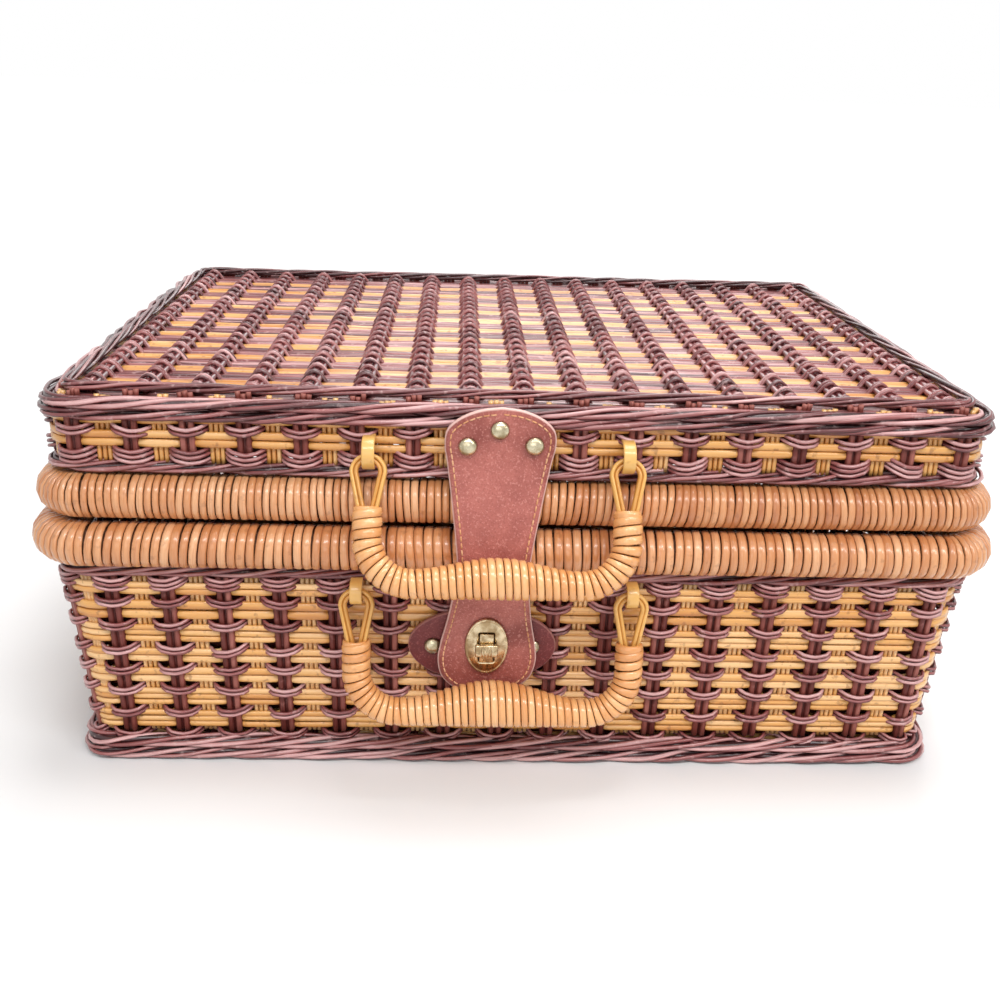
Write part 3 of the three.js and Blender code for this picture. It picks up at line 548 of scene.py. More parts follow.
@dataclass
class Strand:
    """One rod, strand or strip, with its radius and shade for the whole or for each point.

    A strip has outward directions, along which it is pressed flat to the kept share of its radius.
    A strand with a given side is painted paler where it stands out that way, a painted highlight,
    and darker on the far side, painted shade.
    """

    path: Array
    radius: Amount
    shade: Amount
    closed: bool = False
    outward: Array | None = None
    keep: Amount = 1.0
    flat_top: float = 0.75
    # The side of the painted highlight, and how strong the painted highlight and shade are
    sheen_and_rubbing: Array | None = None
    painted_light: float = 0.0

    def per_point(self, amount: Amount) -> Array:
        """An amount for each point."""
        return np.broadcast_to(np.asarray(amount, float), len(self.path))

    def pressed(self, rings: Array) -> Array:
        """Presses the swept strand flat, if it is a strip.

        Args:
            rings: Its points, by step, by place round the section, by axis.

        Returns:
            The points, pressed.
        """
        if self.outward is None:
            return rings
        outward = self.outward[:, None, :]
        lift = np.sum((rings - self.path[:, None, :]) * outward, axis=2, keepdims=True)
        half = self.per_point(self.radius)[:, None, None]
        keep = self.per_point(self.keep)[:, None, None]
        flat = np.clip(lift / half / self.flat_top, -1, 1) * half * keep
        return rings + (flat - lift) * outward

    def shades(self, rings: Array) -> Array:
        """The shade of every swept point by step and place round it, with painted highlight and shade."""
        shade = np.repeat(self.per_point(self.shade)[:, None], rings.shape[1], axis=1)
        if self.sheen_and_rubbing is None:
            return shade
        # Painted light: paler towards the given side, a painted highlight, darker away from it, painted shade
        stands_out = np.sum((rings - self.path[:, None, :]) * self.sheen_and_rubbing[:, None, :], axis=2)
        return np.clip(shade + self.painted_light * stands_out / self.per_point(self.radius)[:, None], 0, 1)

    @property
    def length(self) -> float:
        """Length of the path."""
        return float(np.linalg.norm(np.diff(self.path, axis=0), axis=1).sum())


class Bundle:
    """Strands that become one mesh, with their shades and a map in metres along each.

    The map of each strand is shifted from the last one's, so that no two have the same streaks.
    """

    SHIFT = 0.37

    def __init__(self, name: str, sides: int = 6) -> None:
        """Starts an empty bundle whose strands have that many sides."""
        self.name = name
        self.sides = sides
        self.strands: list[Strand] = []

    def add(self, strand: Strand) -> None:
        """Adds a strand."""
        self.strands.append(strand)

    def swept(self) -> bpy.types.Mesh:
        """Sweeps a round section along every strand."""
        line = bpy.data.curves.new(self.name, "CURVE")
        line.dimensions = "3D"
        line.bevel_depth = 1.0
        line.bevel_resolution = self.sides // 2 - 2
        for strand in self.strands:
            spline = line.splines.new("POLY")
            count = len(strand.path)
            spline.points.add(count - 1)
            places = np.ones((count, 4))
            places[:, :3] = strand.path
            spline.points.foreach_set("co", places.ravel())
            spline.points.foreach_set("radius", np.ascontiguousarray(strand.per_point(strand.radius)))
            spline.use_cyclic_u = strand.closed
        carrier = bpy.data.objects.new(self.name, line)
        mesh = bpy.data.meshes.new_from_object(carrier)
        bpy.data.objects.remove(carrier)
        bpy.data.curves.remove(line)
        return mesh

    def mark(self, mesh: bpy.types.Mesh) -> None:
        """Presses the strips flat, and writes the shades and the lengths."""
        counts = [len(strand.path) for strand in self.strands]
        starts = np.concatenate([[0], np.cumsum(counts)])
        places = np.empty(len(mesh.vertices) * 3)
        mesh.vertices.foreach_get("co", places)
        rings = places.reshape(-1, self.sides, 3)
        shades = np.empty(rings.shape[:2])
        for k, strand in enumerate(self.strands):
            span = slice(starts[k], starts[k + 1])
            shades[span] = strand.shades(rings[span])
            rings[span] = strand.pressed(rings[span])
        mesh.vertices.foreach_set("co", rings.ravel())
        shade = mesh.attributes.new("shade", "FLOAT", "POINT")
        shade.data.foreach_set("value", shades.ravel())
        owner = np.repeat(np.arange(len(counts)), np.array(counts) * self.sides)
        corners = np.empty(len(mesh.loops), np.int32)
        mesh.loops.foreach_get("vertex_index", corners)
        uv = np.empty(len(mesh.loops) * 2)
        mesh.uv_layers[0].data.foreach_get("uv", uv)
        uv = uv.reshape(-1, 2)
        lengths = np.array([strand.length for strand in self.strands])
        uv[:, 0] = uv[:, 0] * lengths[owner[corners]] + owner[corners] * self.SHIFT
        mesh.uv_layers[0].data.foreach_set("uv", uv.ravel())

    def build(self) -> Piece:
        """Makes the bundle's object, with its open ends filled.

        Returns:
            The object, linked to the scene.
        """
        mesh = self.swept()
        self.mark(mesh)
        made = bmesh.new()
        made.from_mesh(mesh)
        bpy.data.meshes.remove(mesh)
        open_edges = [edge for edge in made.edges if edge.is_boundary]
        bmesh.ops.holes_fill(made, edges=open_edges, sides=self.sides)
        return object_from(self.name, made)


def wander(along: Array, length: float, waves: Waves, rng: Random) -> Array:
    """A slow random rise and fall between -1 and 1, of two waves, that closes on itself.

    Args:
        along: Distances along a loop.
        length: The loop's length.
        waves: The fewest and the most waves round the loop.
        rng: Random numbers.

    Returns:
        The value at each distance.
    """
    total = np.zeros_like(along)
    for share in (0.6, 0.4):
        turn = 2 * math.pi * rng.integers(*waves) * along / length
        total += share * np.sin(turn + rng.uniform(0, 2 * math.pi))
    return total


def sway(along: Array, size: float, waves: float, rng: Random) -> Array:
    """A wave of a size along a rod, with so many radians to a metre and a random start."""
    return size * np.sin(along * waves + rng.uniform(0, 6))


def points(x: Amount, y: Amount, z: Amount) -> Array:
    """Points in space from their coordinates, where a number stands for all of them."""
    return np.stack(np.broadcast_arrays(x, y, z), axis=1)


# The tray's outline


@dataclass(frozen=True)
class TrayLine:
    """A rectangle with round corners, walked from the middle of the front to the right."""

    half_x: float
    half_y: float
    corner: float

    @property
    def length(self) -> float:
        """The whole way round."""
        straight = 4 * (self.half_x + self.half_y - 2 * self.corner)
        return straight + 2 * math.pi * self.corner

    def grown(self, by: float) -> "TrayLine":
        """The line at a distance outside this one."""
        return TrayLine(self.half_x + by, self.half_y + by, self.corner + by)

    def legs(self, along: Array) -> tuple[Array, Array]:
        """The leg that each distance lies on, odd ones being corners, and how far along that leg."""
        a, b = self.half_x - self.corner, self.half_y - self.corner
        quarter = self.corner * math.pi / 2
        legs = np.array([a, quarter, 2 * b, quarter, 2 * a, quarter, 2 * b, quarter, a])
        starts = np.concatenate([[0.0], np.cumsum(legs)[:-1]])
        way = np.mod(along, self.length)
        leg = np.searchsorted(starts, way, side="right") - 1
        return leg, way - starts[leg]

    def at(self, along: Array, out: Amount = 0.0) -> tuple[Array, Array]:
        """Points on the line.

        Args:
            along: Distances from the middle of the front.
            out: How far outside the line.

        Returns:
            The points and the outward directions, as x and y.
        """
        a, b = self.half_x - self.corner, self.half_y - self.corner
        leg, done = self.legs(along)
        round_corner = leg % 2 == 1
        share = np.where(round_corner, done / (self.corner * math.pi / 2), 0.0)
        turn = (leg // 2 + share - 1) * math.pi / 2
        normal = np.stack([np.cos(turn), np.sin(turn)], axis=-1)
        travel = np.stack([-normal[..., 1], normal[..., 0]], axis=-1)
        corners = np.array([[a, -b], [a, b], [-a, b], [-a, -b], [0, 0]])[leg // 2]
        x, y = self.half_x, self.half_y
        sides = [[0, -y], [x, -b], [a, y], [-x, b], [-a, -y]]
        straight = np.array(sides)[leg // 2] + done[..., None] * travel
        point = np.where(round_corner[..., None], corners + self.corner * normal, straight)
        point = point + np.asarray(out)[..., None] * normal
        return point + np.array([0.0, MIDDLE_Y]), normal

    def space(self, along: Array, out: Amount, z: Amount) -> Array:
        """Points in space on the line.

        Args:
            along: Distances from the middle of the front.
            out: How far outside the line.
            z: Their height.

        Returns:
            The points.
        """
        flat, _ = self.at(along, out)
        height = np.broadcast_to(np.asarray(z, float), flat.shape[:-1])
        return np.concatenate([flat, height[..., None]], axis=-1)

    def raised(self, along: Array, up: float) -> Array:
        """Directions that point outwards and that much upwards."""
        raised = self.outward(along)
        raised[:, 2] = up
        return raised / math.hypot(1, up)

    def outward(self, along: Array) -> Array:
        """Level outward directions in space."""
        _, normal = self.at(along)
        return np.concatenate([normal, np.zeros((len(normal), 1))], axis=1)


BASE_LINE = TrayLine(205 * MM, 145 * MM, 18 * MM)
LID_LINE = BASE_LINE.grown(-LID_INSET)


def hinge_places(line: TrayLine) -> Span:
    """Distances along a line at which the two hinge loops sit at the back."""
    back = line.length / 2
    return back - HINGE_X, back + HINGE_X


# Woven walls


@dataclass(frozen=True)
class Band:
    """A band of flat honey rods, one above another."""

    z: float
    height: float
    rods: int


@dataclass(frozen=True)
class Arches:
    """A row of willow strands, one above another, that arch over the willow stakes."""

    z: float
    strands: int


@dataclass
class WovenWall:
    """A wall of honey and willow stakes, with flat honey rods and thin willow strands woven between them.

    Honey rods pass before the honey stakes and behind the willow ones; willow strands do the opposite. A dive
    is how sharply a rod goes behind a stake, and its edge is where. Shades and painted light run from 0 to 1,
    and what is uneven or wanders is the small fault of work by hand.
    """

    label: str
    body: str
    node: str
    line: TrayLine
    low: float
    high: float
    out_low: float
    out_high: float
    stakes: int
    first: float
    bands: Sequence[Band]
    rows: Sequence[Arches]
    stub: float = 0.0
    # How much paler the honey is painted; below 0 it is painted darker, as painted shade
    pale: float = 0.0
    waves: Waves = (3, 11)
    rod_half: float = 0.9 * MM
    rod_front: float = 1.75 * MM
    rod_back: float = 0.8 * MM
    rod_steps: tuple[float, ...] = (0.0, 0.08, 0.115, 0.14, 0.175, 0.25, 0.5)
    rod_dive: float = 6.0
    rod_edge: float = 0.68
    rod_wander: float = 0.25 * MM
    rod_uneven: float = 0.16 * MM
    rod_width: Span = (0.93, 1.02)
    rod_shade: Span = (0.35, 0.85)
    rod_patchy: float = 0.25
    # Painted light on the rods: a painted highlight on their outward upper side, painted shade below
    rod_painted_light: float = 0.3
    strand_r: float = 0.92 * MM
    strand_front: float = 4.25 * MM
    strand_back: float = 2.15 * MM
    strand_steps: tuple[float, ...] = (0.0, 0.09, 0.15, 0.21, 0.29, 0.38, 0.45, 0.5)
    strand_dive: float = 2.6
    strand_edge: float = 0.48
    strand_width: Span = (0.92, 1.06)
    strand_shade: Span = (0.2, 0.45)
    strand_patchy: float = 0.2
    # Painted light on the strands: a painted highlight on their outward upper side, painted shade below
    strand_painted_light: float = 0.5
    sag: float = 2.9 * MM
    arch_round: float = 0.015
    arch_lean: float = 1.6 * MM
    arch_uneven: float = 0.35 * MM
    fan: float = 1.2
    fan_apart: Span = (-0.08, 0.3)
    lining_half: float = 2.4 * MM
    lining_keep: float = 0.26
    lining_back: float = 3.8 * MM
    lining_drop: float = 1.2 * MM
    lining_wander: float = 0.2 * MM
    # The lining is painted dark: painted shade seen through the wall's holes
    lining_shade: Span = (0.1, 0.4)
    stick_points: int = 9
    stick_uneven: Span = (0.12 * MM, 0.08 * MM)
    # Painted light on the sticks: a painted highlight on their outward side, painted shade at their sides
    stick_painted_light: float = 0.25
    honey_stick_r: float = 1.08 * MM
    honey_stick_gap: float = 2.2248 * MM
    honey_lift: float = -0.15 * MM
    honey_shade: Span = (0.45, 1.0)
    willow_stick_r: float = 1.55 * MM
    willow_stick_gap: float = 3.7 * MM
    willow_lift: float = 1.75 * MM
    willow_shade: Span = (0.2, 0.7)
    # A stick between each stake's two sticks, painted darkest: painted shade in the gap between them
    hidden_lift: float = 0.6
    hidden_r: float = 0.7
    stub_r: float = 1.2 * MM
    stub_gap: float = 2.3 * MM
    stub_long: float = 9 * MM
    stub_in: float = 4.0 * MM
    stub_lean: float = 1.2 * MM
    stub_uneven: Span = (-1.2 * MM, 0.4 * MM)
    stub_aside: float = 0.5 * MM
    willow_stub: float = 1.0 * MM
    honey_stub: float = -0.6 * MM

    @property
    def pitch(self) -> float:
        """From one willow stake to the next."""
        return self.line.length / self.stakes

    def middle(self, z: Amount) -> Amount:
        """Distance of the wall's middle outside the line, at a height."""
        share = (np.asarray(z) - self.low) / (self.high - self.low)
        return self.out_low + share * (self.out_high - self.out_low) - WALL / 2

    def woven(
        self, start: float, steps: Sequence[float], sharp: float, edge: float
    ) -> tuple[Array, Array, Array]:
        """Samples of a rod that goes all the way round.

        Args:
            start: Where its bays start, in pitches from the first willow stake.
            steps: The samples of half a bay, in pitches from the stake that the rod passes behind.
            sharp: How sharply it dives there.
            edge: Cosine of the place in the bay where it is as far before as behind.

        Returns:
            Distances along the line, each one's bay, and its swing from -1, behind, to 1, before the stakes.
        """
        bay = [*steps, *(1 - step for step in reversed(steps[1:-1]))]
        turn = (np.arange(self.stakes)[:, None] + np.array(bay)[None, :]).ravel()
        swing = np.tanh(sharp * (edge - np.cos(2 * math.pi * turn)))
        return self.first + (turn + start) * self.pitch, turn.astype(int), swing

    def add_rod(self, bundle: Bundle, z: float, half: float, rng: Random) -> None:
        """Adds one flat honey rod.

        Args:
            bundle: Where it is added.
            z: Its height.
            half: Half its width.
            rng: Random numbers.
        """
        along, bay, swing = self.woven(0.0, self.rod_steps, self.rod_dive, self.rod_edge)
        height = z + self.rod_wander * wander(along, self.line.length, self.waves, rng)
        height += rng.normal(0, self.rod_uneven, self.stakes)[bay]
        depth = np.where(swing > 0, self.rod_front, self.rod_back) * swing
        path = self.line.space(along, self.middle(height) + depth, height)
        shade = self.pale + rng.uniform(*self.rod_shade)
        shade = shade + rng.uniform(-self.rod_patchy, self.rod_patchy, self.stakes)[bay]
        width = half * rng.uniform(*self.rod_width, self.stakes)[bay]
        pressed = {"outward": self.line.outward(along), "keep": self.rod_half / half}
        # Painted highlight on the rod's outward upper side, painted shade below
        sheen_and_rubbing = {"sheen_and_rubbing": self.line.raised(along, 1.0), "painted_light": self.rod_painted_light}
        bundle.add(Strand(path, width, np.clip(shade, 0, 1), True, **pressed, **sheen_and_rubbing))

    def add_row(self, bundle: Bundle, row: Arches, rng: Random) -> None:
        """Adds a row of willow strands, which dip together over each willow stake."""
        along, bay, swing = self.woven(0.5, self.strand_steps, self.strand_dive, self.strand_edge)
        turn = (along - self.first) / self.pitch
        aside = turn - np.round(turn)
        over = 1 - np.sqrt((2 * aside) ** 2 + self.arch_round)
        lean = rng.normal(0, self.arch_lean, self.stakes)[bay] * aside
        shared = row.z + rng.normal(0, self.arch_uneven, self.stakes)[bay] + lean - self.sag * over
        depth = np.where(swing > 0, self.strand_front, self.strand_back) * swing
        # Painted highlight on the strands' outward upper side, painted shade below
        sheen_and_rubbing = {"sheen_and_rubbing": self.line.raised(along, 0.8), "painted_light": self.strand_painted_light}
        for k in range(row.strands):
            fan = self.fan + rng.uniform(*self.fan_apart, self.stakes)[bay] * (1 - over)
            height = shared + (2 * k + 1 - row.strands) * self.strand_r * fan
            path = self.line.space(along, self.middle(height) + depth, height)
            shade = rng.uniform(*self.strand_shade)
            shade = shade + rng.uniform(-self.strand_patchy, self.strand_patchy, self.stakes)[bay]
            radius = self.strand_r * rng.uniform(*self.strand_width)
            bundle.add(Strand(path, radius, np.clip(shade, 0, 1), True, **sheen_and_rubbing))

    def add_lining(self, bundle: Bundle, row: Arches, rng: Random) -> None:
        """Adds the flat willow rod that runs inside the wall, behind a row of strands."""
        count = self.stakes * 4
        along = self.line.length * np.arange(count) / count
        level = row.z - self.lining_drop
        height = level + self.lining_wander * wander(along, self.line.length, self.waves, rng)
        path = self.line.space(along, self.middle(height) - self.lining_back, height)
        # Painted dark, as painted shade seen through the wall's holes
        shade = rng.uniform(*self.lining_shade)
        outward = self.line.outward(along)
        bundle.add(Strand(path, self.lining_half, shade, True, outward, self.lining_keep))

    def stick(self, along: float, lift: float, radius: float, shade: float, rng: Random) -> Strand:
        """One stick of a stake, from the foot of the wall to its top.

        Args:
            along: Its place along the line.
            lift: How far it stands out from the wall's middle.
            radius: Its radius.
            shade: Its shade from 0 to 1.
            rng: Random numbers.

        Returns:
            The stick.
        """
        z = np.linspace(self.low, self.high, self.stick_points)
        whole, each = self.stick_uneven
        uneven = rng.normal(0, whole) + rng.normal(0, each, len(z))
        place = np.full(len(z), along)
        path = self.line.space(place, self.middle(z) + lift + uneven, z)
        # Painted highlight on the stick's outward side, painted shade at its sides
        return Strand(path, radius, shade, sheen_and_rubbing=self.line.outward(place), painted_light=self.stick_painted_light)

    def add_stubs(self, bundle: Bundle, along: float, raised: float, rng: Random) -> None:
        """Adds a stake's cut ends, which show between the two ropes of the border.

        Args:
            bundle: Where they are added.
            along: The stake's place along the line.
            raised: How much higher than other stakes' ends they are.
            rng: Random numbers.
        """
        rise = np.array([0.0, 0.8, 1.0])
        shade = np.array([0.3, 0.6, 0.9])
        lean = rng.uniform(-self.stub_lean, self.stub_lean)
        for side in (-1, 0, 1):
            top = self.high + self.stub + raised
            z = top + (rise - 1) * self.stub_long + rng.uniform(*self.stub_uneven)
            place = along + side * self.stub_gap + lean * rise
            out = rng.uniform(-self.stub_aside, self.stub_aside) - self.stub_in
            bundle.add(Strand(self.line.space(place, out, z), self.stub_r, shade))

    def build(self, rng: Random) -> None:
        """Builds and dresses the wall's honey and willow pieces."""
        rods, sticks = Bundle(f"{self.label}_honey_rods", 8), Bundle(f"{self.label}_honey_stakes")
        strands, stakes = Bundle(f"{self.label}_willow_arches"), Bundle(f"{self.label}_willow_stakes")
        for band in self.bands:
            half = band.height / band.rods / 2
            for k in range(band.rods):
                self.add_rod(rods, band.z + (2 * k + 1 - band.rods) * half, half, rng)
        for row in self.rows:
            self.add_row(strands, row, rng)
            self.add_lining(stakes, row, rng)
        # Between each stake's two sticks lies one painted darkest, as painted shade in the gap
        hidden = (self.hidden_lift * self.willow_lift, self.hidden_r * self.willow_stick_r, 0.0)
        for k in range(self.stakes):
            at = self.first + k * self.pitch
            stakes.add(self.stick(at, *hidden, rng))
            for side in (-0.5, 0.5):
                place, shade = at + side * self.willow_stick_gap, rng.uniform(*self.willow_shade)
                stakes.add(self.stick(place, self.willow_lift, self.willow_stick_r, shade, rng))
            if self.stub:
                self.add_stubs(stakes, at, self.willow_stub, rng)
                self.add_stubs(sticks, at + self.pitch / 2, self.honey_stub, rng)
            for j in (-1, 0, 1):
                place = at + self.pitch / 2 + j * self.honey_stick_gap
                shade = max(0.0, self.pale + rng.uniform(*self.honey_shade))
                sticks.add(self.stick(place, self.honey_lift, self.honey_stick_r, shade, rng))
        dress(rods.build(), HONEY, self.body, [self.node])
        dress(sticks.build(), HONEY, self.body)
        dress(strands.build(), WILLOW, self.body)
        dress(stakes.build(), WILLOW_STAKE, self.body)


# Rope borders


@dataclass(frozen=True)
class RopeForm:
    """A rope's half width and height, its strands and their radius, its lay, and its inner strands."""

    half_w: float
    half_h: float
    strands: int
    strand_r: float
    lay: float
    inner: int = 0
    shade: float = 0.24


# The foot ropes are painted paler: painted light, for the light that falls on the foot
FOOT_ROPE = RopeForm(5.4 * MM, 3.25 * MM, 5, 1.15 * MM, 96 * MM, inner=2, shade=0.62)
TOP_ROPE = RopeForm(5.3 * MM, 3.05 * MM, 5, 1.12 * MM, 104 * MM, inner=2)
EDGE_ROPE = RopeForm(2.9 * MM, 2.5 * MM, 4, 1.0 * MM, 90 * MM)
TWINE = RopeForm(6 * MM, 3.1 * MM, 6, 1.05 * MM, 105 * MM, inner=3)


@dataclass
class Rope:
    """A loose rope of thin strands with a long lay; the inner ones are painted darkest, as painted shade.

    Beside the hinge loops it dodges out and up by the distances given.
    """

    name: str
    body: str
    node: str | None
    line: TrayLine
    out: float
    z: float
    form: RopeForm
    dodge: Span = (0.0, 0.0)
    step: float = 4.5 * MM
    reach: float = 0.88
    reach_varies: float = 0.12
    reach_waves: Waves = (6, 24)
    stray: Span = (0.45, 0.2)
    slow_waves: Waves = (3, 12)
    quick_waves: Waves = (14, 34)
    thick: Span = (0.82, 1.12)
    taper: float = 0.16
    taper_waves: Waves = (4, 14)
    shade_varies: float = 0.35
    patchy: float = 0.3
    # Painted light on the outer strands: a painted highlight outward and up, painted shade below
    painted_light: float = 0.42
    inner_reach: float = 0.4
    inner_thick: float = 1.3
    hinge_ease: float = 9 * MM

    def build(self, rng: Random) -> None:
        """Builds and dresses the rope."""
        form, bundle = self.form, Bundle(self.name)
        length = self.line.length
        count = round(length / self.step)
        along = length * np.arange(count) / count
        lay = 2 * math.pi * round(length / form.lay) * along / length
        aside = self.beside_hinges(along)
        # The side of the painted highlight: outward and up
        sheen_and_rubbing = self.line.raised(along, 1.0)
        for k in range(form.strands + form.inner):
            outside = k < form.strands
            share = k / form.strands if outside else (k - form.strands) / form.inner
            reach = np.full(count, self.inner_reach)
            if outside:
                reach = self.reach + self.reach_varies * wander(along, length, self.reach_waves, rng)
            turn = 2 * math.pi * share + lay
            for stray, waves in zip(self.stray, (self.slow_waves, self.quick_waves)):
                turn = turn + stray * wander(along, length, waves, rng)
            taper = 1 + self.taper * wander(along, length, self.taper_waves, rng)
            thick = rng.uniform(*self.thick) * (1.0 if outside else self.inner_thick)
            radius = form.strand_r * thick * taper
            out = self.out + (form.half_w - radius) * reach * np.cos(turn) + self.dodge[0] * aside
            z = self.z + (form.half_h - radius) * reach * np.sin(turn) + self.dodge[1] * aside
            path = self.line.space(along, out, np.maximum(z, radius))
            shade = form.shade + rng.uniform(-self.shade_varies, self.shade_varies)
            shade = shade + self.patchy * wander(along, length, self.slow_waves, rng)
            # Inner strands are painted darkest: painted shade in the gaps between the outer ones
            seen = np.clip(shade, 0, 1) if outside else 0.0
            painted_light = self.painted_light if outside else 0.0
            bundle.add(Strand(path, radius, seen, True, sheen_and_rubbing=sheen_and_rubbing, painted_light=painted_light))
        dress(bundle.build(), WILLOW, self.body, [self.node] if self.node else ())

    def beside_hinges(self, along: Array) -> Array:
        """1 beside a hinge loop, and 0 away from them."""
        near = np.zeros_like(along)
        for place in hinge_places(self.line):
            distance = np.abs(along - place) - HINGE_W / 2
            near = np.maximum(near, np.clip(1 - distance / self.hinge_ease, 0, 1))
        return near * near * (3 - 2 * near)


# Wound rims and handles


def turn_values(turns: Array, span: Span, rng: Random) -> Array:
    """A random value within a span for each whole turn, held over that turn."""
    values = rng.uniform(*span, int(turns.max()) + 2)
    return values[(turns + 0.5).astype(int)]


@dataclass
class WoundRim:
    """Flat cane wound round a rim's rod, turn beside turn, evenly spaced along the rim's outer side."""

    name: str
    body: str
    node: str
    line: TrayLine
    z: float
    pitch: float
    steps: int = 14
    thick: float = 0.85 * MM
    slant: float = 1.1 * MM
    lean: Span = (-0.4 * MM, 0.4 * MM)
    sunk: Span = (-0.25 * MM, 0.0)
    width: Span = (0.86, 1.02)
    shade: Span = (0.3, 0.9)
    patchy: float = 0.2
    waves: Waves = (3, 9)

    def build(self, rng: Random) -> None:
        """Builds and dresses the winding."""
        outer = self.line.grown(RIM_R)
        count = round(outer.length / self.pitch)
        turns = np.arange(count * self.steps) / self.steps
        angle = 2 * math.pi * turns
        even = outer.length * turns / count
        lean = self.slant * (wander(even, outer.length, self.waves, rng) - 0.5)
        lean += turn_values(turns, self.lean, rng)
        along = even + lean * np.sin(angle)
        wind = RIM_R - self.thick + turn_values(turns, self.sunk, rng)
        path = outer.space(along, wind * np.cos(angle) - RIM_R, self.z + wind * np.sin(angle))
        outward = outer.outward(along) * np.cos(angle)[:, None]
        outward[:, 2] = np.sin(angle)
        on_corner = outer.legs(along)[0] % 2 == 1
        crowding = np.where(on_corner, (self.line.corner + wind * np.cos(angle)) / outer.corner, 1.0)
        half = 0.5 * outer.length / count * turn_values(turns, self.width, rng) * crowding
        patch = self.patchy * wander(even, outer.length, self.waves, rng)
        shade = np.clip(turn_values(turns, self.shade, rng) + patch, 0, 1)
        bundle = Bundle(self.name, 8)
        bundle.add(Strand(path, half, shade, True, outward, np.minimum(self.thick / half, 1.0)))
        dress(bundle.build(), LACQUER, self.body, [self.node])


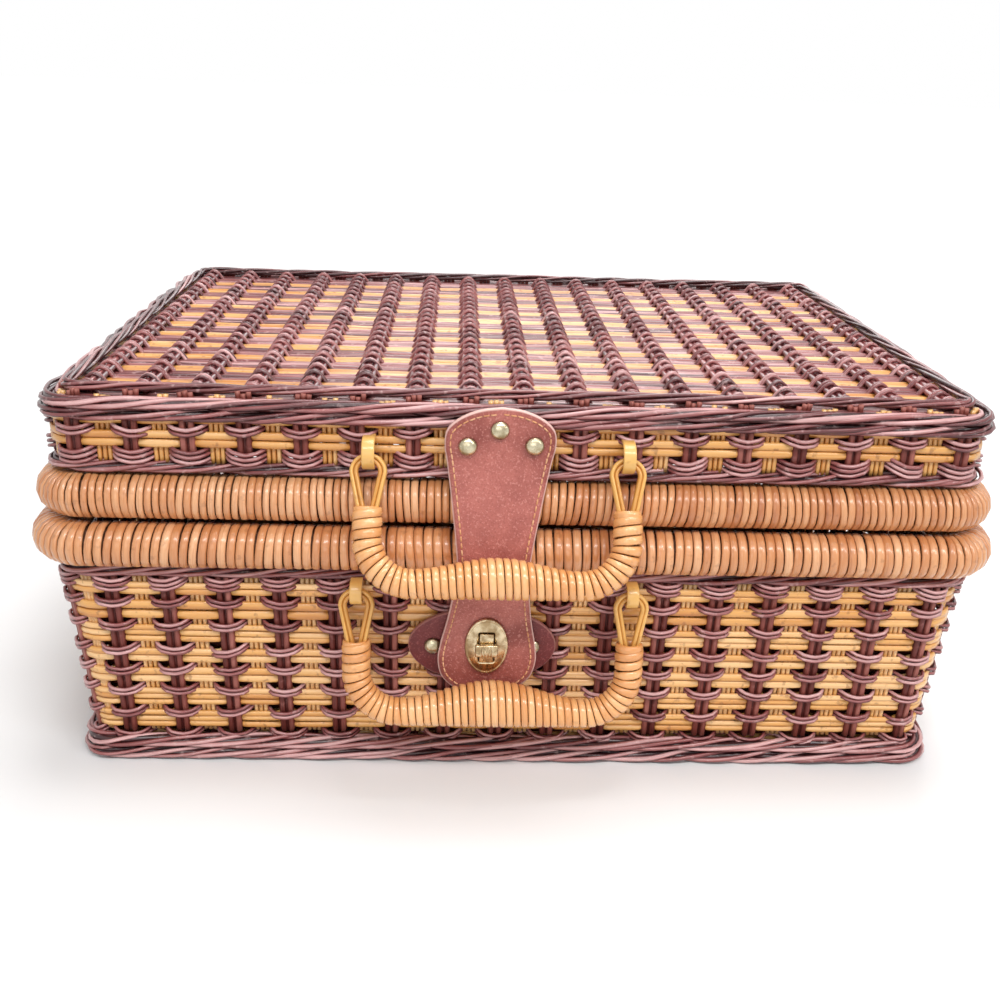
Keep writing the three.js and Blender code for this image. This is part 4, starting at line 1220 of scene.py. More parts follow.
@dataclass
class Handle:
    """A bail of rod wound with cane, hung by two eyes of split cane from staples in the wall."""

    label: str
    wall_body: str
    lean: float
    half: float
    drop: float
    grip_r: float
    neck: float
    r: float = 6.5 * MM
    bend: float = 19 * MM
    neck_pitch: float = 4.2 * MM
    grip_pitch: float = 3.3 * MM
    pitch_ease: float = 14 * MM
    steps: int = 18
    fine_steps: int = 4000
    cane: float = 0.75 * MM
    cane_width: Span = (0.9, 0.99)
    cane_sunk: Span = (-0.18 * MM, 0.0)
    cane_shade: Span = (0.3, 0.9)
    crowding: Span = (0.55, 1.35)
    tail_tuck: float = 1.2 * MM
    tail_turns: float = 0.4
    end_tuck: float = 0.35 * MM
    end_turns: float = 1.5
    collar: float = 2.5 * MM
    eye_tail: float = 4 * MM
    eye_hole: float = 8.4 * MM
    eye_band: float = 3.7 * MM
    eye_deep: float = 2.1
    eye_foot_r: float = 3.8 * MM
    eye_split: float = 0.25
    eye_strip_r: float = 0.28
    eye_wobble: float = 0.12 * MM
    eye_shades: tuple[Span, Span] = ((0.2, 0.6), (0.5, 0.9))
    staple_round: float = 0.49
    staple_back_r: float = 1.9 * MM
    staple_thick: float = 1.55 * MM

    @property
    def body(self) -> str:
        """The body that the handle is."""
        return f"{self.label}_handle"

    @property
    def lift(self) -> float:
        """How far the grip swells beyond the rod."""
        return self.grip_r - self.r

    @property
    def low(self) -> float:
        """How far the rod's middle hangs below the eyes, at the ends of the grip."""
        return self.drop / math.cos(self.lean) + self.lift

    @property
    def straight(self) -> float:
        """Length of the rod from its neck to its bend."""
        return self.low - self.bend - self.neck

    @property
    def hang(self) -> Matrix:
        """Turns the handle's own plane into place."""
        place = Vector(JOINTS[f"{self.body}_swing"]["pos_m"])
        return Matrix.Translation(place) @ Matrix.Rotation(-self.lean, 4, "X")

    def placed(self, local: Array) -> Array:
        """Points of the handle's own plane, in place."""
        turn = np.array(self.hang)
        return local @ turn[:3, :3].T + turn[:3, 3]

    @property
    def length(self) -> float:
        """Length of the wound rod."""
        return 2 * self.straight + math.pi * self.bend + 2 * (self.half - self.bend)

    def rod(self, along: Array) -> tuple[Array, Array, Array]:
        """The rod in its own plane.

        Args:
            along: Distances along it from its left neck.

        Returns:
            Its middle, the direction towards the inside of the bend, and its outside radius.
        """
        straight = self.straight
        arc = math.pi / 2 * self.bend
        grip = 2 * (self.half - self.bend)
        mirrored = along > straight + arc + grip / 2
        s = np.where(mirrored, self.length - along, along)
        turn = np.clip((s - straight) / self.bend, 0, math.pi / 2)
        over = np.clip(s - straight - arc, 0, None)
        bulge = np.where(over > 0, np.cos(math.pi * (over - grip / 2) / grip) ** 2, 0.0)
        x = -self.half + self.bend * (1 - np.cos(turn)) + over
        hanging = np.where(turn > 0, -self.low + self.bend * (1 - np.sin(turn)), -self.neck - s)
        side = np.where(mirrored, -1.0, 1.0)
        middle = points(side * x, 0.0, hanging + self.lift * bulge)
        return middle, points(side * np.cos(turn), 0.0, np.sin(turn)), self.r + self.lift * bulge

    def winding(self, rng: Random) -> Piece:
        """Flat cane wound round the rod: wide turns on the necks, finer ones on the bends and the grip."""
        fine = np.linspace(-self.collar, self.length + self.collar, self.fine_steps)
        from_end = np.minimum(fine, self.length - fine)
        share = np.clip((from_end - self.straight) / self.pitch_ease, 0, 1)
        pitch = self.neck_pitch + (self.grip_pitch - self.neck_pitch) * share
        wound = np.concatenate([[0], np.cumsum(np.diff(fine) / pitch[1:])])
        turns = np.arange(0, wound[-1] + 2, 1 / self.steps)
        along = np.interp(turns - 1, wound, fine)
        middle, inward, radius = self.rod(along)
        half = np.interp(along, fine, pitch) * 0.5 * turn_values(turns, self.cane_width, rng)
        last = np.minimum(turns, turns[-1] - turns)
        tucked = self.tail_tuck * np.clip(1 - last / self.tail_turns, 0, 1)
        tucked = tucked + self.end_tuck * np.clip(self.end_turns - last, 0, 1)
        wind = radius - self.cane + turn_values(turns, self.cane_sunk, rng) - tucked
        angle = 2 * math.pi * turns
        front = np.array([0.0, 1.0, 0.0])
        out = inward * np.cos(angle)[:, None] - front * np.sin(angle)[:, None]
        on_bend = np.abs(inward[:, 0] * inward[:, 2]) > 1e-6
        crowding = np.where(on_bend, 1 - wind * np.cos(angle) / self.bend, 1.0)
        half = half * np.clip(crowding, *self.crowding)
        path = self.placed(middle + out * wind[:, None])
        outward = out @ np.array(self.hang)[:3, :3].T
        shade = np.clip(turn_values(turns, self.cane_shade, rng), 0, 1)
        bundle = Bundle(f"{self.label}_handle_cane", 8)
        bundle.add(Strand(path, half, shade, False, outward, np.minimum(self.cane / half, 1.0)))
        return bundle.build()

    def eye(self, name: str, x: float, rng: Random) -> Piece:
        """An eye: two split strips side by side round the staple, down into the neck."""
        bundle = Bundle(name, 8)
        wide = self.eye_hole / 2 + self.eye_band / 2
        foot = -self.neck - self.eye_tail + self.eye_foot_r
        narrow = self.eye_foot_r - self.eye_band / 2
        over = np.linspace(0, math.pi, 17)
        under = np.linspace(math.pi, 2 * math.pi, 9)
        shades = [rng.uniform(*span) for span in self.eye_shades]
        for off, shade in zip((-self.eye_split, self.eye_split), shades):
            top_r, foot_r = wide + off * self.eye_band, narrow + off * self.eye_band
            arch = points(top_r * np.cos(over), 0.0, top_r * np.sin(over) - wide)
            cup = points(foot_r * np.cos(under), 0.0, foot_r * np.sin(under) + foot)
            steps = np.linspace(0, 1, 9)[1:-1, None]
            left = arch[-1] + (cup[0] - arch[-1]) * steps
            right = cup[-1] + (arch[0] - cup[-1]) * steps
            loop = np.concatenate([arch, left, cup, right])
            loop[:, 1] += sway(np.linspace(0, 2 * math.pi, len(loop)), self.eye_wobble, 1, rng)
            loop[:, 0] += x
            bundle.add(Strand(loop, self.eye_band * self.eye_strip_r, shade, True))
        piece = bundle.build()
        piece.data.transform(self.hang @ Matrix.Diagonal((1.0, self.eye_deep, 1.0, 1.0)))
        return piece

    def staple(self, node: str) -> Piece:
        """A strip of cane through the wall, arched in front of it."""
        low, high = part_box(node)
        front_r = self.staple_round * (high.z - low.z)
        path = strap_path(low, high, front_r, self.staple_back_r)
        return strap(f"{node}_strip", path, (low.x, high.x), self.staple_thick)

    def build(self, rng: Random) -> None:
        """Builds and dresses the handle and its staples."""
        dress(self.winding(rng), HANDLE_CANE, self.body, [f"{self.label}_handle_wrap"])
        dress_node(f"{self.label}_handle_core", ROD_WOOD)
        for side, x in (("left", -self.half), ("right", self.half)):
            node = f"{self.label}_eye_{side}"
            dress(self.eye(f"{node}_cane", x, rng), EYE_CANE, self.body, [node])
            staple = f"{self.label}_staple_{side}"
            dress(self.staple(staple), EYE_CANE, self.wall_body, [staple])


CORNER_STEPS = 6


def strap_path(low: Vector, high: Vector, front_r: float, back_r: float) -> list[Span]:
    """A closed path of y and z round a box.

    Args:
        low: The box's least corner.
        high: Its greatest corner.
        front_r: Radius of the path's corners at the front.
        back_r: Radius of those at the back.

    Returns:
        The path's points.
    """
    corners = [
        (low.y + front_r, low.z + front_r, front_r, 180),
        (high.y - back_r, low.z + back_r, back_r, 270),
        (high.y - back_r, high.z - back_r, back_r, 0),
        (low.y + front_r, high.z - front_r, front_r, 90),
    ]
    path = []
    for y, z, radius, start in corners:
        for k in range(CORNER_STEPS + 1):
            turn = math.radians(start + 90 * k / CORNER_STEPS)
            path.append((y + radius * math.cos(turn), z + radius * math.sin(turn)))
    return path


def strap(name: str, path: Sequence[Span], across: Span, thick: float, shade: float = 0.7) -> Piece:
    """A flat strip that runs along a closed path of y and z, with rounded edges.

    Args:
        name: The piece's name.
        path: The strip's outer face.
        across: Its two sides in x.
        thick: Its thickness, inwards.
        shade: Its shade from 0 to 1.

    Returns:
        The object.
    """
    made = bmesh.new()
    ring = [made.verts.new((across[0], y, z)) for y, z in path]
    edges = [made.edges.new((ring[k], ring[(k + 1) % len(ring)])) for k in range(len(ring))]
    side = bmesh.ops.extrude_edge_only(made, edges=edges)
    moved = [item for item in side["geom"] if isinstance(item, bmesh.types.BMVert)]
    bmesh.ops.translate(made, verts=moved, vec=(across[1] - across[0], 0, 0))
    bmesh.ops.recalc_face_normals(made, faces=made.faces)
    bmesh.ops.solidify(made, geom=made.faces[:], thickness=thick)
    sharp = [edge for edge in made.edges if len(edge.link_faces) == 2 and edge.calc_face_angle() > 1.0]
    bevel = {"offset": 0.36 * thick, "segments": 3, "profile": 0.5, "affect": "EDGES", "material": -1}
    bmesh.ops.bevel(made, geom=sharp, **bevel)
    layer = made.verts.layers.float.new("shade")
    for vert in made.verts:
        vert[layer] = shade
    return object_from(name, made)


# Lid panel and floor


@dataclass
class LidPanel:
    """The lid's top: bands of honey and willow rods under stakes, with strands arched over each stake."""

    stakes: int = 17
    stick_r: float = 1.42 * MM
    stick_gap: float = 2.5 * MM
    stick_past: float = 1.5 * MM
    stick_points: int = 36
    stick_sway: float = 0.2 * MM
    stick_waves: float = 70
    stick_uneven: float = 0.15 * MM
    stick_uneven_waves: float = 110
    stick_shade: Span = (0.15, 0.7)
    crown: float = 0.5 * MM
    honey_bands: int = 11
    period: float = 22.4 * MM
    honey_r: float = 1.62 * MM
    honey_gap: float = 2.9 * MM
    willow_r: float = 1.55 * MM
    willow_gap: float = 2.7 * MM
    willow_each_way: int = 2
    willow_to_edge: int = 5
    rod_sunk: float = 1.0 * MM
    rod_in: float = 5 * MM
    rod_points: int = 60
    rod_sway: float = 0.3 * MM
    rod_waves: Span = (20, 60)
    rod_patches: Span = (10, 40)
    rod_uneven: float = 0.25 * MM
    rod_uneven_waves: float = 90
    rod_width: Span = (0.92, 1.04)
    half_x: float = 194 * MM
    strand_r: float = 0.88 * MM
    strand_gap: float = 2.1 * MM
    strand_sway: float = 0.7 * MM
    strand_waves: Span = (40, 120)
    strand_patches: Span = (20, 60)
    strand_width: Span = (0.9, 1.1)
    strand_dip: float = -0.2
    shade: Span = (0.3, 0.8)
    patchy: float = 0.2

    def node(self, k: int) -> str:
        """Name of a stake."""
        return f"lid_stake_{k + 1:02d}"

    def stake_x(self, k: int) -> float:
        """Middle of a stake."""
        return middle_of(self.node(k))[0]

    @property
    def floor_z(self) -> float:
        """Height of the rods' middles."""
        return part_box("lid_panel")[1].z - self.rod_sunk

    def reach_x(self, y: float) -> float:
        """Half the panel's width at a depth, inside its round corners."""
        inner = LID_LINE.grown(-self.rod_in)
        past = min(max(0.0, abs(y - MIDDLE_Y) - (inner.half_y - inner.corner)), inner.corner)
        return inner.half_x - inner.corner + math.sqrt(inner.corner**2 - past**2)

    def shades(self, x: Array, waves: Span, rng: Random) -> Array:
        """Shades along a rod or strand, with so many waves to a metre."""
        shade = rng.uniform(*self.shade)
        return np.clip(shade + sway(x, self.patchy, rng.uniform(*waves), rng), 0, 1)

    def add_rod(self, bundle: Bundle, y: float, radius: float, rng: Random) -> None:
        """Adds one rod that lies under the stakes.

        Args:
            bundle: Where it is added.
            y: Its place from front to back.
            radius: Its radius.
            rng: Random numbers.
        """
        x = np.linspace(-1, 1, self.rod_points) * self.reach_x(y)
        aside = sway(x, self.rod_sway, rng.uniform(*self.rod_waves), rng)
        path = points(x, y + aside, self.floor_z + sway(x, self.rod_uneven, self.rod_uneven_waves, rng))
        shade = self.shades(x, self.rod_patches, rng)
        bundle.add(Strand(path, radius * rng.uniform(*self.rod_width), shade))

    def bands(self, rng: Random) -> None:
        """Builds the bands of rods, with willow ones on to the panel's front and back edges."""
        honey, willow = Bundle("lid_panel_honey"), Bundle("lid_panel_willow")
        for k in range(-(self.honey_bands // 2), self.honey_bands // 2 + 1):
            for j in (-1, 0, 1):
                self.add_rod(honey, MIDDLE_Y + k * self.period + j * self.honey_gap, self.honey_r, rng)
        for k in range(self.honey_bands + 1):
            y = MIDDLE_Y + (k - self.honey_bands / 2) * self.period
            first = -self.willow_to_edge if k == 0 else -self.willow_each_way
            last = self.willow_to_edge if k == self.honey_bands else self.willow_each_way
            for j in range(first, last + 1):
                self.add_rod(willow, y + j * self.willow_gap, self.willow_r, rng)
        dress(honey.build(), HONEY, "lid", ["lid_panel"])
        dress(willow.build(), WILLOW, "lid")

    def stake(self, k: int, z: float, rng: Random) -> None:
        """Builds one stake of three sticks, the middle one a little higher."""
        low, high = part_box(self.node(k))
        bundle = Bundle(f"{self.node(k)}_sticks")
        y = np.linspace(low.y - self.stick_past, high.y + self.stick_past, self.stick_points)
        for j in (-1, 0, 1):
            x = self.stake_x(k) + j * self.stick_gap + sway(y, self.stick_sway, self.stick_waves, rng)
            uneven = sway(y, self.stick_uneven, self.stick_uneven_waves, rng)
            path = points(x, y, z + self.crown * (j == 0) + uneven)
            bundle.add(Strand(path, self.stick_r, rng.uniform(*self.stick_shade)))
        dress(bundle.build(), WILLOW, "lid", [self.node(k)])

    def arches(self, stake_z: float, rng: Random) -> None:
        """Builds the pairs of strands that arch over the stakes."""
        bundle = Bundle("lid_panel_arches")
        pitch = self.stake_x(1) - self.stake_x(0)
        whole = np.linspace(-self.half_x, self.half_x, self.stakes * 14)
        rise = stake_z + self.stick_r + self.crown + self.strand_r - self.floor_z
        for row in range(2 * self.honey_bands + 2):
            y = MIDDLE_Y + (row - self.honey_bands - 0.5) * self.period / 2
            x = whole[np.abs(whole) < self.reach_x(y)]
            lift = rise * np.maximum(np.cos(2 * math.pi * x / pitch), self.strand_dip)
            for side in (-0.5, 0.5):
                aside = sway(x, self.strand_sway, rng.uniform(*self.strand_waves), rng)
                path = points(x, y + side * self.strand_gap + aside, self.floor_z + lift)
                shade = self.shades(x, self.strand_patches, rng)
                bundle.add(Strand(path, self.strand_r * rng.uniform(*self.strand_width), shade))
        dress(bundle.build(), WILLOW, "lid")

    def build(self, rng: Random) -> None:
        """Builds and dresses the panel's bands, its stakes and its arches."""
        self.bands(rng)
        stake_z = self.floor_z + self.honey_r + self.stick_r
        for k in range(self.stakes):
            self.stake(k, stake_z, rng)
        self.arches(stake_z, rng)


@dataclass
class FloorWeave:
    """The floor: rods in a plain weave over stakes that run front to back."""

    row_pitch: float = 3.5 * MM
    rod_r: float = 1.7 * MM
    stakes: int = 16
    stick_r: float = 1.45 * MM
    stick_gap: float = 3 * MM
    stick_in: float = 1 * MM
    stick_shade: Span = (0.1, 0.7)
    swing: float = 1.7 * MM
    corner: float = 10 * MM
    rod_width: Span = (0.92, 1.03)
    rod_shade: Span = (0.2, 0.9)

    def build(self, rng: Random) -> None:
        """Builds and dresses the floor."""
        low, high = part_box("base_floor")
        z = middle_of("base_floor")[2]
        honey, willow = Bundle("base_floor_rods"), Bundle("base_floor_stakes")
        pitch = (high.x - low.x) / self.stakes
        rows = round((high.y - low.y) / self.row_pitch)
        for row in range(rows):
            y = low.y + (row + 0.5) * (high.y - low.y) / rows
            inset = max(0.0, self.corner - min(y - low.y, high.y - y))
            x = np.linspace(low.x + inset / 2, high.x - inset / 2, self.stakes * 5 + 1)
            side = 1 if (row // 2) % 2 else -1
            lift = side * self.swing * np.cos(math.pi * (x - low.x) / pitch)
            radius = self.rod_r * rng.uniform(*self.rod_width)
            honey.add(Strand(points(x, y, z + lift), radius, rng.uniform(*self.rod_shade)))
        for k in range(self.stakes + 1):
            inset = self.corner if k in (0, self.stakes) else self.stick_in
            y = np.linspace(low.y + inset, high.y - inset, 12)
            for side in (-0.5, 0.5):
                at = low.x + k * pitch + side * self.stick_gap
                at = min(max(at, low.x + self.stick_r), high.x - self.stick_r)
                willow.add(Strand(points(at, y, z), self.stick_r, rng.uniform(*self.stick_shade)))
        dress(honey.build(), HONEY, "base", ["base_floor"])
        dress(willow.build(), WILLOW, "base")


# Hinge loops


@dataclass
class HingeLoop:
    """A loop of split cane round both rims, in strips side by side."""

    side: str
    strips: int = 4
    thick: float = 1.25 * MM
    rim_gap: float = 0.3 * MM
    strip_gap: float = 0.1 * MM
    half_turn: int = 18
    shade: Span = (0.3, 0.9)

    def build(self, rng: Random) -> None:
        """Builds and dresses the loop."""
        node = f"hinge_loop_{self.side}"
        low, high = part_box(node)
        bore = RIM_R + self.rim_gap + self.thick
        upper = Vector((0, LID_LINE.half_y + MIDDLE_Y, LID_RIM_Z))
        lower = Vector((0, BASE_LINE.half_y + MIDDLE_Y, BASE_RIM_Z))
        run = upper - lower
        lean = math.atan2(run.y, run.z)
        path = []
        for centre, start in ((lower, math.pi), (upper, 0.0)):
            for k in range(self.half_turn + 1):
                turn = start + math.pi * k / self.half_turn - lean
                path.append((centre.y + bore * math.cos(turn), centre.z + bore * math.sin(turn)))
        width = (high.x - low.x) / self.strips
        for k in range(self.strips):
            left = low.x + k * width
            across = (left + self.strip_gap, left + width - self.strip_gap)
            strip = strap(f"{node}_strip_{k + 1}", path, across, self.thick, rng.uniform(*self.shade))
            dress(strip, EYE_CANE, "base", [node] if k == 0 else ())


# Clasp


def through(knots: Array, count: int) -> Array:
    """A smooth line through points.

    Args:
        knots: The points that it passes through.
        count: How many points of the line are wanted.

    Returns:
        The line's points.
    """
    t = np.linspace(0, len(knots) - 1, count)
    k = np.clip(t.astype(int), 0, len(knots) - 2)
    knots = np.concatenate([2 * knots[:1] - knots[1:2], knots, 2 * knots[-1:] - knots[-2:-1]])
    f = (t - k)[:, None]
    a, b, c, d = knots[k], knots[k + 1], knots[k + 2], knots[k + 3]
    return 0.5 * (2 * b + (c - a) * f + (2 * a - 5 * b + 4 * c - d) * f**2 + (3 * b - a - 3 * c + d) * f**3)


def rounded(width: float, height: float, radius: float, count: int) -> list[Span]:
    """A rectangle with round corners, from the middle of its right side.

    Args:
        width: Its width.
        height: Its height.
        radius: Radius of its corners.
        count: How many points share it evenly.

    Returns:
        The points.
    """
    line = TrayLine(width / 2, height / 2, radius)
    along = line.length * (np.arange(count) / count) + width / 2 + height / 2 - radius * (2 - math.pi / 2)
    places, _ = line.at(along)
    return [(x, y - MIDDLE_Y) for x, y in places]


def ellipse(half_x: float, half_z: float, count: int) -> list[Span]:
    """Points of an ellipse, from the middle of its right side."""
    turns = [2 * math.pi * k / count for k in range(count)]
    return [(half_x * math.cos(t), half_z * math.sin(t)) for t in turns]


def lofted(name: str, loops: Sequence[tuple[Sequence[Span], float]], place: Matrix, closed: bool) -> Piece:
    """A plate from loops of x and z, each at a distance out, bridged in order.

    Args:
        name: The piece's name.
        loops: The loops, with how far out each lies.
        place: Where it goes, with -Y out.
        closed: Whether the last loop is bridged to the first; otherwise both ends are filled.

    Returns:
        The object.
    """
    made = bmesh.new()
    rings = []
    for loop, out in loops:
        verts = [made.verts.new((x, -out, z)) for x, z in loop]
        rings.append([made.edges.new((verts[k], verts[(k + 1) % len(verts)])) for k in range(len(verts))])
    pairs = list(zip(rings, rings[1:])) + ([(rings[-1], rings[0])] if closed else [])
    for first, second in pairs:
        bmesh.ops.bridge_loops(made, edges=first + second)
    if not closed:
        for ring in (rings[0], rings[-1]):
            bmesh.ops.contextual_create(made, geom=ring)
    return object_from(name, made, place)


def spun(name: str, profile: Sequence[Span], place: Matrix, steps: int = 28) -> Piece:
    """A round piece from a profile of radius and distance out, spun about its axis.

    Args:
        name: The piece's name.
        profile: Radius and distance out, from its axis at the back to its axis at the front.
        place: Where it goes, with -Y out.
        steps: Steps round it.

    Returns:
        The object.
    """
    made = bmesh.new()
    verts = [made.verts.new((radius, -along, 0)) for radius, along in profile]
    edges = [made.edges.new(pair) for pair in zip(verts, verts[1:])]
    geom = verts + edges
    bmesh.ops.spin(made, geom=geom, axis=(0, 1, 0), angle=2 * math.pi, steps=steps, use_merge=True)
    bmesh.ops.remove_doubles(made, verts=made.verts, dist=1e-6)
    return object_from(name, made, place)


def add_block(made: bmesh.types.BMesh, size: Span, reach: Span, round_by: float) -> None:
    """Adds a block with round edges.

    Args:
        made: Where it is added.
        size: Its width and height.
        reach: How far out it starts and ends.
        round_by: Radius of its edges.
    """
    cube = bmesh.ops.create_cube(made, size=1.0)["verts"]
    bmesh.ops.scale(made, vec=(size[0], reach[1] - reach[0], size[1]), verts=cube)
    bmesh.ops.translate(made, vec=(0, -(reach[0] + reach[1]) / 2, 0), verts=cube)
    edges = list({edge for vert in cube for edge in vert.link_edges})
    bmesh.ops.bevel(made, geom=edges, offset=round_by, segments=3, profile=0.5, affect="EDGES", material=-1)


def add_bar(made: bmesh.types.BMesh, radius: float, reach: Span, x: float = 0, z: float = 0) -> None:
    """Adds a round bar that runs out of the wall.

    Args:
        made: Where it is added.
        radius: Its radius.
        reach: How far out it starts and ends.
        x: Its middle, across.
        z: Its middle, up.
    """
    depth = reach[1] - reach[0]
    bar = bmesh.ops.create_cone(
        made, cap_ends=True, segments=24, radius1=radius, radius2=radius, depth=depth
    )["verts"]
    bmesh.ops.rotate(made, verts=bar, cent=(0, 0, 0), matrix=Matrix.Rotation(math.pi / 2, 3, "X"))
    bmesh.ops.translate(made, vec=(x, -(reach[0] + reach[1]) / 2, z), verts=bar)


@dataclass
class Clasp:
    """Leather tongue with its stitching, rivets and oval plate, and the turn-lock on its leather patch.

    Distances out are measured from the wall's face at the turn-lock. The head, the lobe and the steps are in
    millimetres: down from the tongue's top or up from the turn-lock and half the width there; inset and
    share of the thickness; share of the oval and rise; wider by, corner radius and rise.
    """

    rows: int = 72
    columns: int = 16
    around: int = 72
    lean_x: Span = (0.8 * MM, -2.4 * MM)
    head: Sequence[Span] = ((0, 0.6), (1.2, 9), (4.5, 17), (9.5, 22.3), (16, 23.2), (24, 21.9))
    lobe: Sequence[Span] = (
        (12.7, 18.6), (-1.3, 21.4), (-9.3, 22), (-17.3, 20), (-23.3, 14.5), (-26.7, 7), (-27.3, 0.6),
    )
    head_out: float = 7.2 * MM
    over_lid_rim: Span = (18.6 * MM, 0.8 * MM)
    over_base_rim: Span = (15.8 * MM, 0.4 * MM)
    below_base_rim: Span = (16.2 * MM, -0.9 * MM)
    below_by: float = 12 * MM
    back_out: float = 4.2 * MM
    fold: Span = (4 * MM, 9 * MM)
    slot: Span = (7.0 * MM, 15.6 * MM)
    slot_cut: Span = (-1 * MM, 9 * MM)
    rivet_room: Span = (0.3 * MM, 0.5 * MM)
    stitch_in: float = 2.4 * MM
    stitch_step: float = 3.0 * MM
    stitch_span: Span = (0.1, 0.84)
    stitch_rise: Sequence[float] = (-0.25, 0.18, 0.24, 0.18, -0.25)
    thread_r: float = 0.36 * MM
    thread_shade: Span = (0.2, 1.0)
    patch_half: Span = (33.3 * MM, 19.6 * MM)
    patch_down: float = 3.3 * MM
    patch_out: Span = (0.3 * MM, 2.8 * MM)
    patch_under: float = 0.4 * MM
    patch_steps: Sequence[Span] = (
        (0.0, 0.25), (0.0, 0.7), (0.25, 0.93), (0.8, 1.0), (4.0, 1.0), (12.0, 1.0), (18.0, 1.0),
    )
    plate_half: Span = (9.7 * MM, 14.5 * MM)
    plate_out: float = 7.1 * MM
    plate_steps: Sequence[Span] = (
        (0.86, 1.5), (0.89, 1.2), (0.92, 1.45), (0.955, 1.5), (0.985, 1.1), (1.0, 0.5), (1.0, 0.0),
    )
    frame_steps: Sequence[tuple[float, float, float]] = (
        (0.0, 0.8, 0.0), (0.0, 0.8, 1.75), (1.2, 1.2, 2.25), (2.6, 1.9, 1.8),
    )
    boss_fit: float = 0.4 * MM
    boss_round: float = 0.4 * MM
    flange: float = 1.4 * MM
    flange_out: Span = (3.1 * MM, 3.9 * MM)
    flange_round: float = 0.3 * MM
    knob_size: Span = (10.3 * MM, 6.2 * MM)
    knob_out: Span = (10.3 * MM, 12.5 * MM)
    knob_round: float = 0.8 * MM
    knob_gap: float = 0.3 * MM
    ribs: int = 4
    rib_pitch: float = 1.25 * MM
    rib_half: tuple[float, float, float] = (0.55 * MM, 0.7 * MM, 2.852 * MM)
    stem_r: float = 3 * MM
    stem_end: float = -10.7 * MM
    post_r: float = 1.6 * MM
    post_in: float = 1 * MM
    nut_end: float = 1.1 * MM
    rivet_r: float = 4 * MM
    rivet_h: float = 2.6 * MM
    dome_steps: int = 8
    dome_edge: float = 0.12
    shank_r: float = 1.3 * MM
    burr: Span = (2.8 * MM, 1.2 * MM)

    @property
    def lock(self) -> Vector:
        """The turn-lock's middle on the wall's face."""
        return Vector(JOINTS["knob_turn"]["pos_m"])

    @property
    def lean(self) -> float:
        """The wall's lean."""
        return math.asin(-JOINTS["knob_turn"]["axis"][2])

    @property
    def wall(self) -> Matrix:
        """The leaning wall's face at the turn-lock, with -Y out of it."""
        return Matrix.Translation(self.lock) @ Matrix.Rotation(self.lean, 4, "X")

    def stations(self) -> Array:
        """The tongue's height, half width and back, from its top to its lower end."""
        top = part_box("tongue_leather")[1].z
        flat = LID_LINE.half_y + self.head_out
        rows = [(top - down * MM, half * MM, flat) for down, half in self.head]
        lid, base = LID_LINE.half_y + RIM_R, BASE_LINE.half_y + RIM_R
        below = BASE_RIM_Z - self.below_by
        bends = [(LID_RIM_Z, lid, self.over_lid_rim), (BASE_RIM_Z, base, self.over_base_rim)]
        bends.append((below, base, self.below_base_rim))
        rows += [(z, half, rim + out) for z, rim, (half, out) in bends]
        for up, half in self.lobe:
            face = MIDDLE_Y - self.lock.y + up * MM * math.tan(self.lean)
            rows.append((self.lock.z + up * MM, half * MM, face + self.back_out))
        return np.array(rows)

    def middle_x(self, z: Amount) -> Amount:
        """The tongue's middle at a height: it leans a little to the left."""
        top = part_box("tongue_leather")[1].z
        share = (top - z) / (top - self.lock.z)
        return CLASP_X + self.lean_x[0] + share * (self.lean_x[1] - self.lean_x[0])

    def sheet(self) -> tuple[Array, Array]:
        """Rows of the tongue's back, and the direction out of it at each."""
        line = through(self.stations(), self.rows + 1)
        ahead = np.roll(line, -1, axis=0)
        behind = np.roll(line, 1, axis=0)
        ahead[-1], behind[0] = line[-1], line[0]
        dz, dy = behind[:, 0] - ahead[:, 0], behind[:, 2] - ahead[:, 2]
        size = np.hypot(dz, dy)
        return line, points(0.0, -dz / size, -dy / size)

    @staticmethod
    def outline(line: Array) -> Array:
        """The tongue's edge, flattened: across, and down its length."""
        down = np.concatenate([[0], np.cumsum(np.hypot(np.diff(line[:, 0]), np.diff(line[:, 2])))])
        right = np.stack([line[:, 1], down], axis=1)
        left = np.stack([-line[::-1, 1], down[::-1]], axis=1)
        return np.concatenate([right, left])

    def tongue(self) -> Piece:
        """The leather, bent over both rims, with its slot and hollows behind it for the patch's rivets."""
        line, _ = self.sheet()
        edge = self.outline(line)
        down = edge[: len(line), 1]
        segment = np.roll(edge, -1, axis=0) - edge
        made = bmesh.new()
        bmesh.ops.create_grid(made, x_segments=self.columns, y_segments=self.rows, size=1.0)
        distance = made.verts.layers.float.new("edge")
        for vert in made.verts:
            row = round((1 - vert.co.y) / 2 * self.rows)
            x = vert.co.x * line[row, 1]
            gap = np.array([x, down[row]]) - edge
            share = np.clip((gap * segment).sum(1) / np.maximum((segment**2).sum(1), 1e-12), 0, 1)
            vert[distance] = np.sqrt(((gap - share[:, None] * segment) ** 2).sum(1)).min()
            vert.co = (self.middle_x(line[row, 0]) + x, MIDDLE_Y - line[row, 2], line[row, 0])
        bmesh.ops.recalc_face_normals(made, faces=made.faces)
        if sum(face.normal.y for face in made.faces) > 0:
            bmesh.ops.reverse_faces(made, faces=made.faces)
        bmesh.ops.solidify(made, geom=made.faces[:], thickness=-LEATHER)
        return self.hollowed(object_from("tongue_sheet", made))

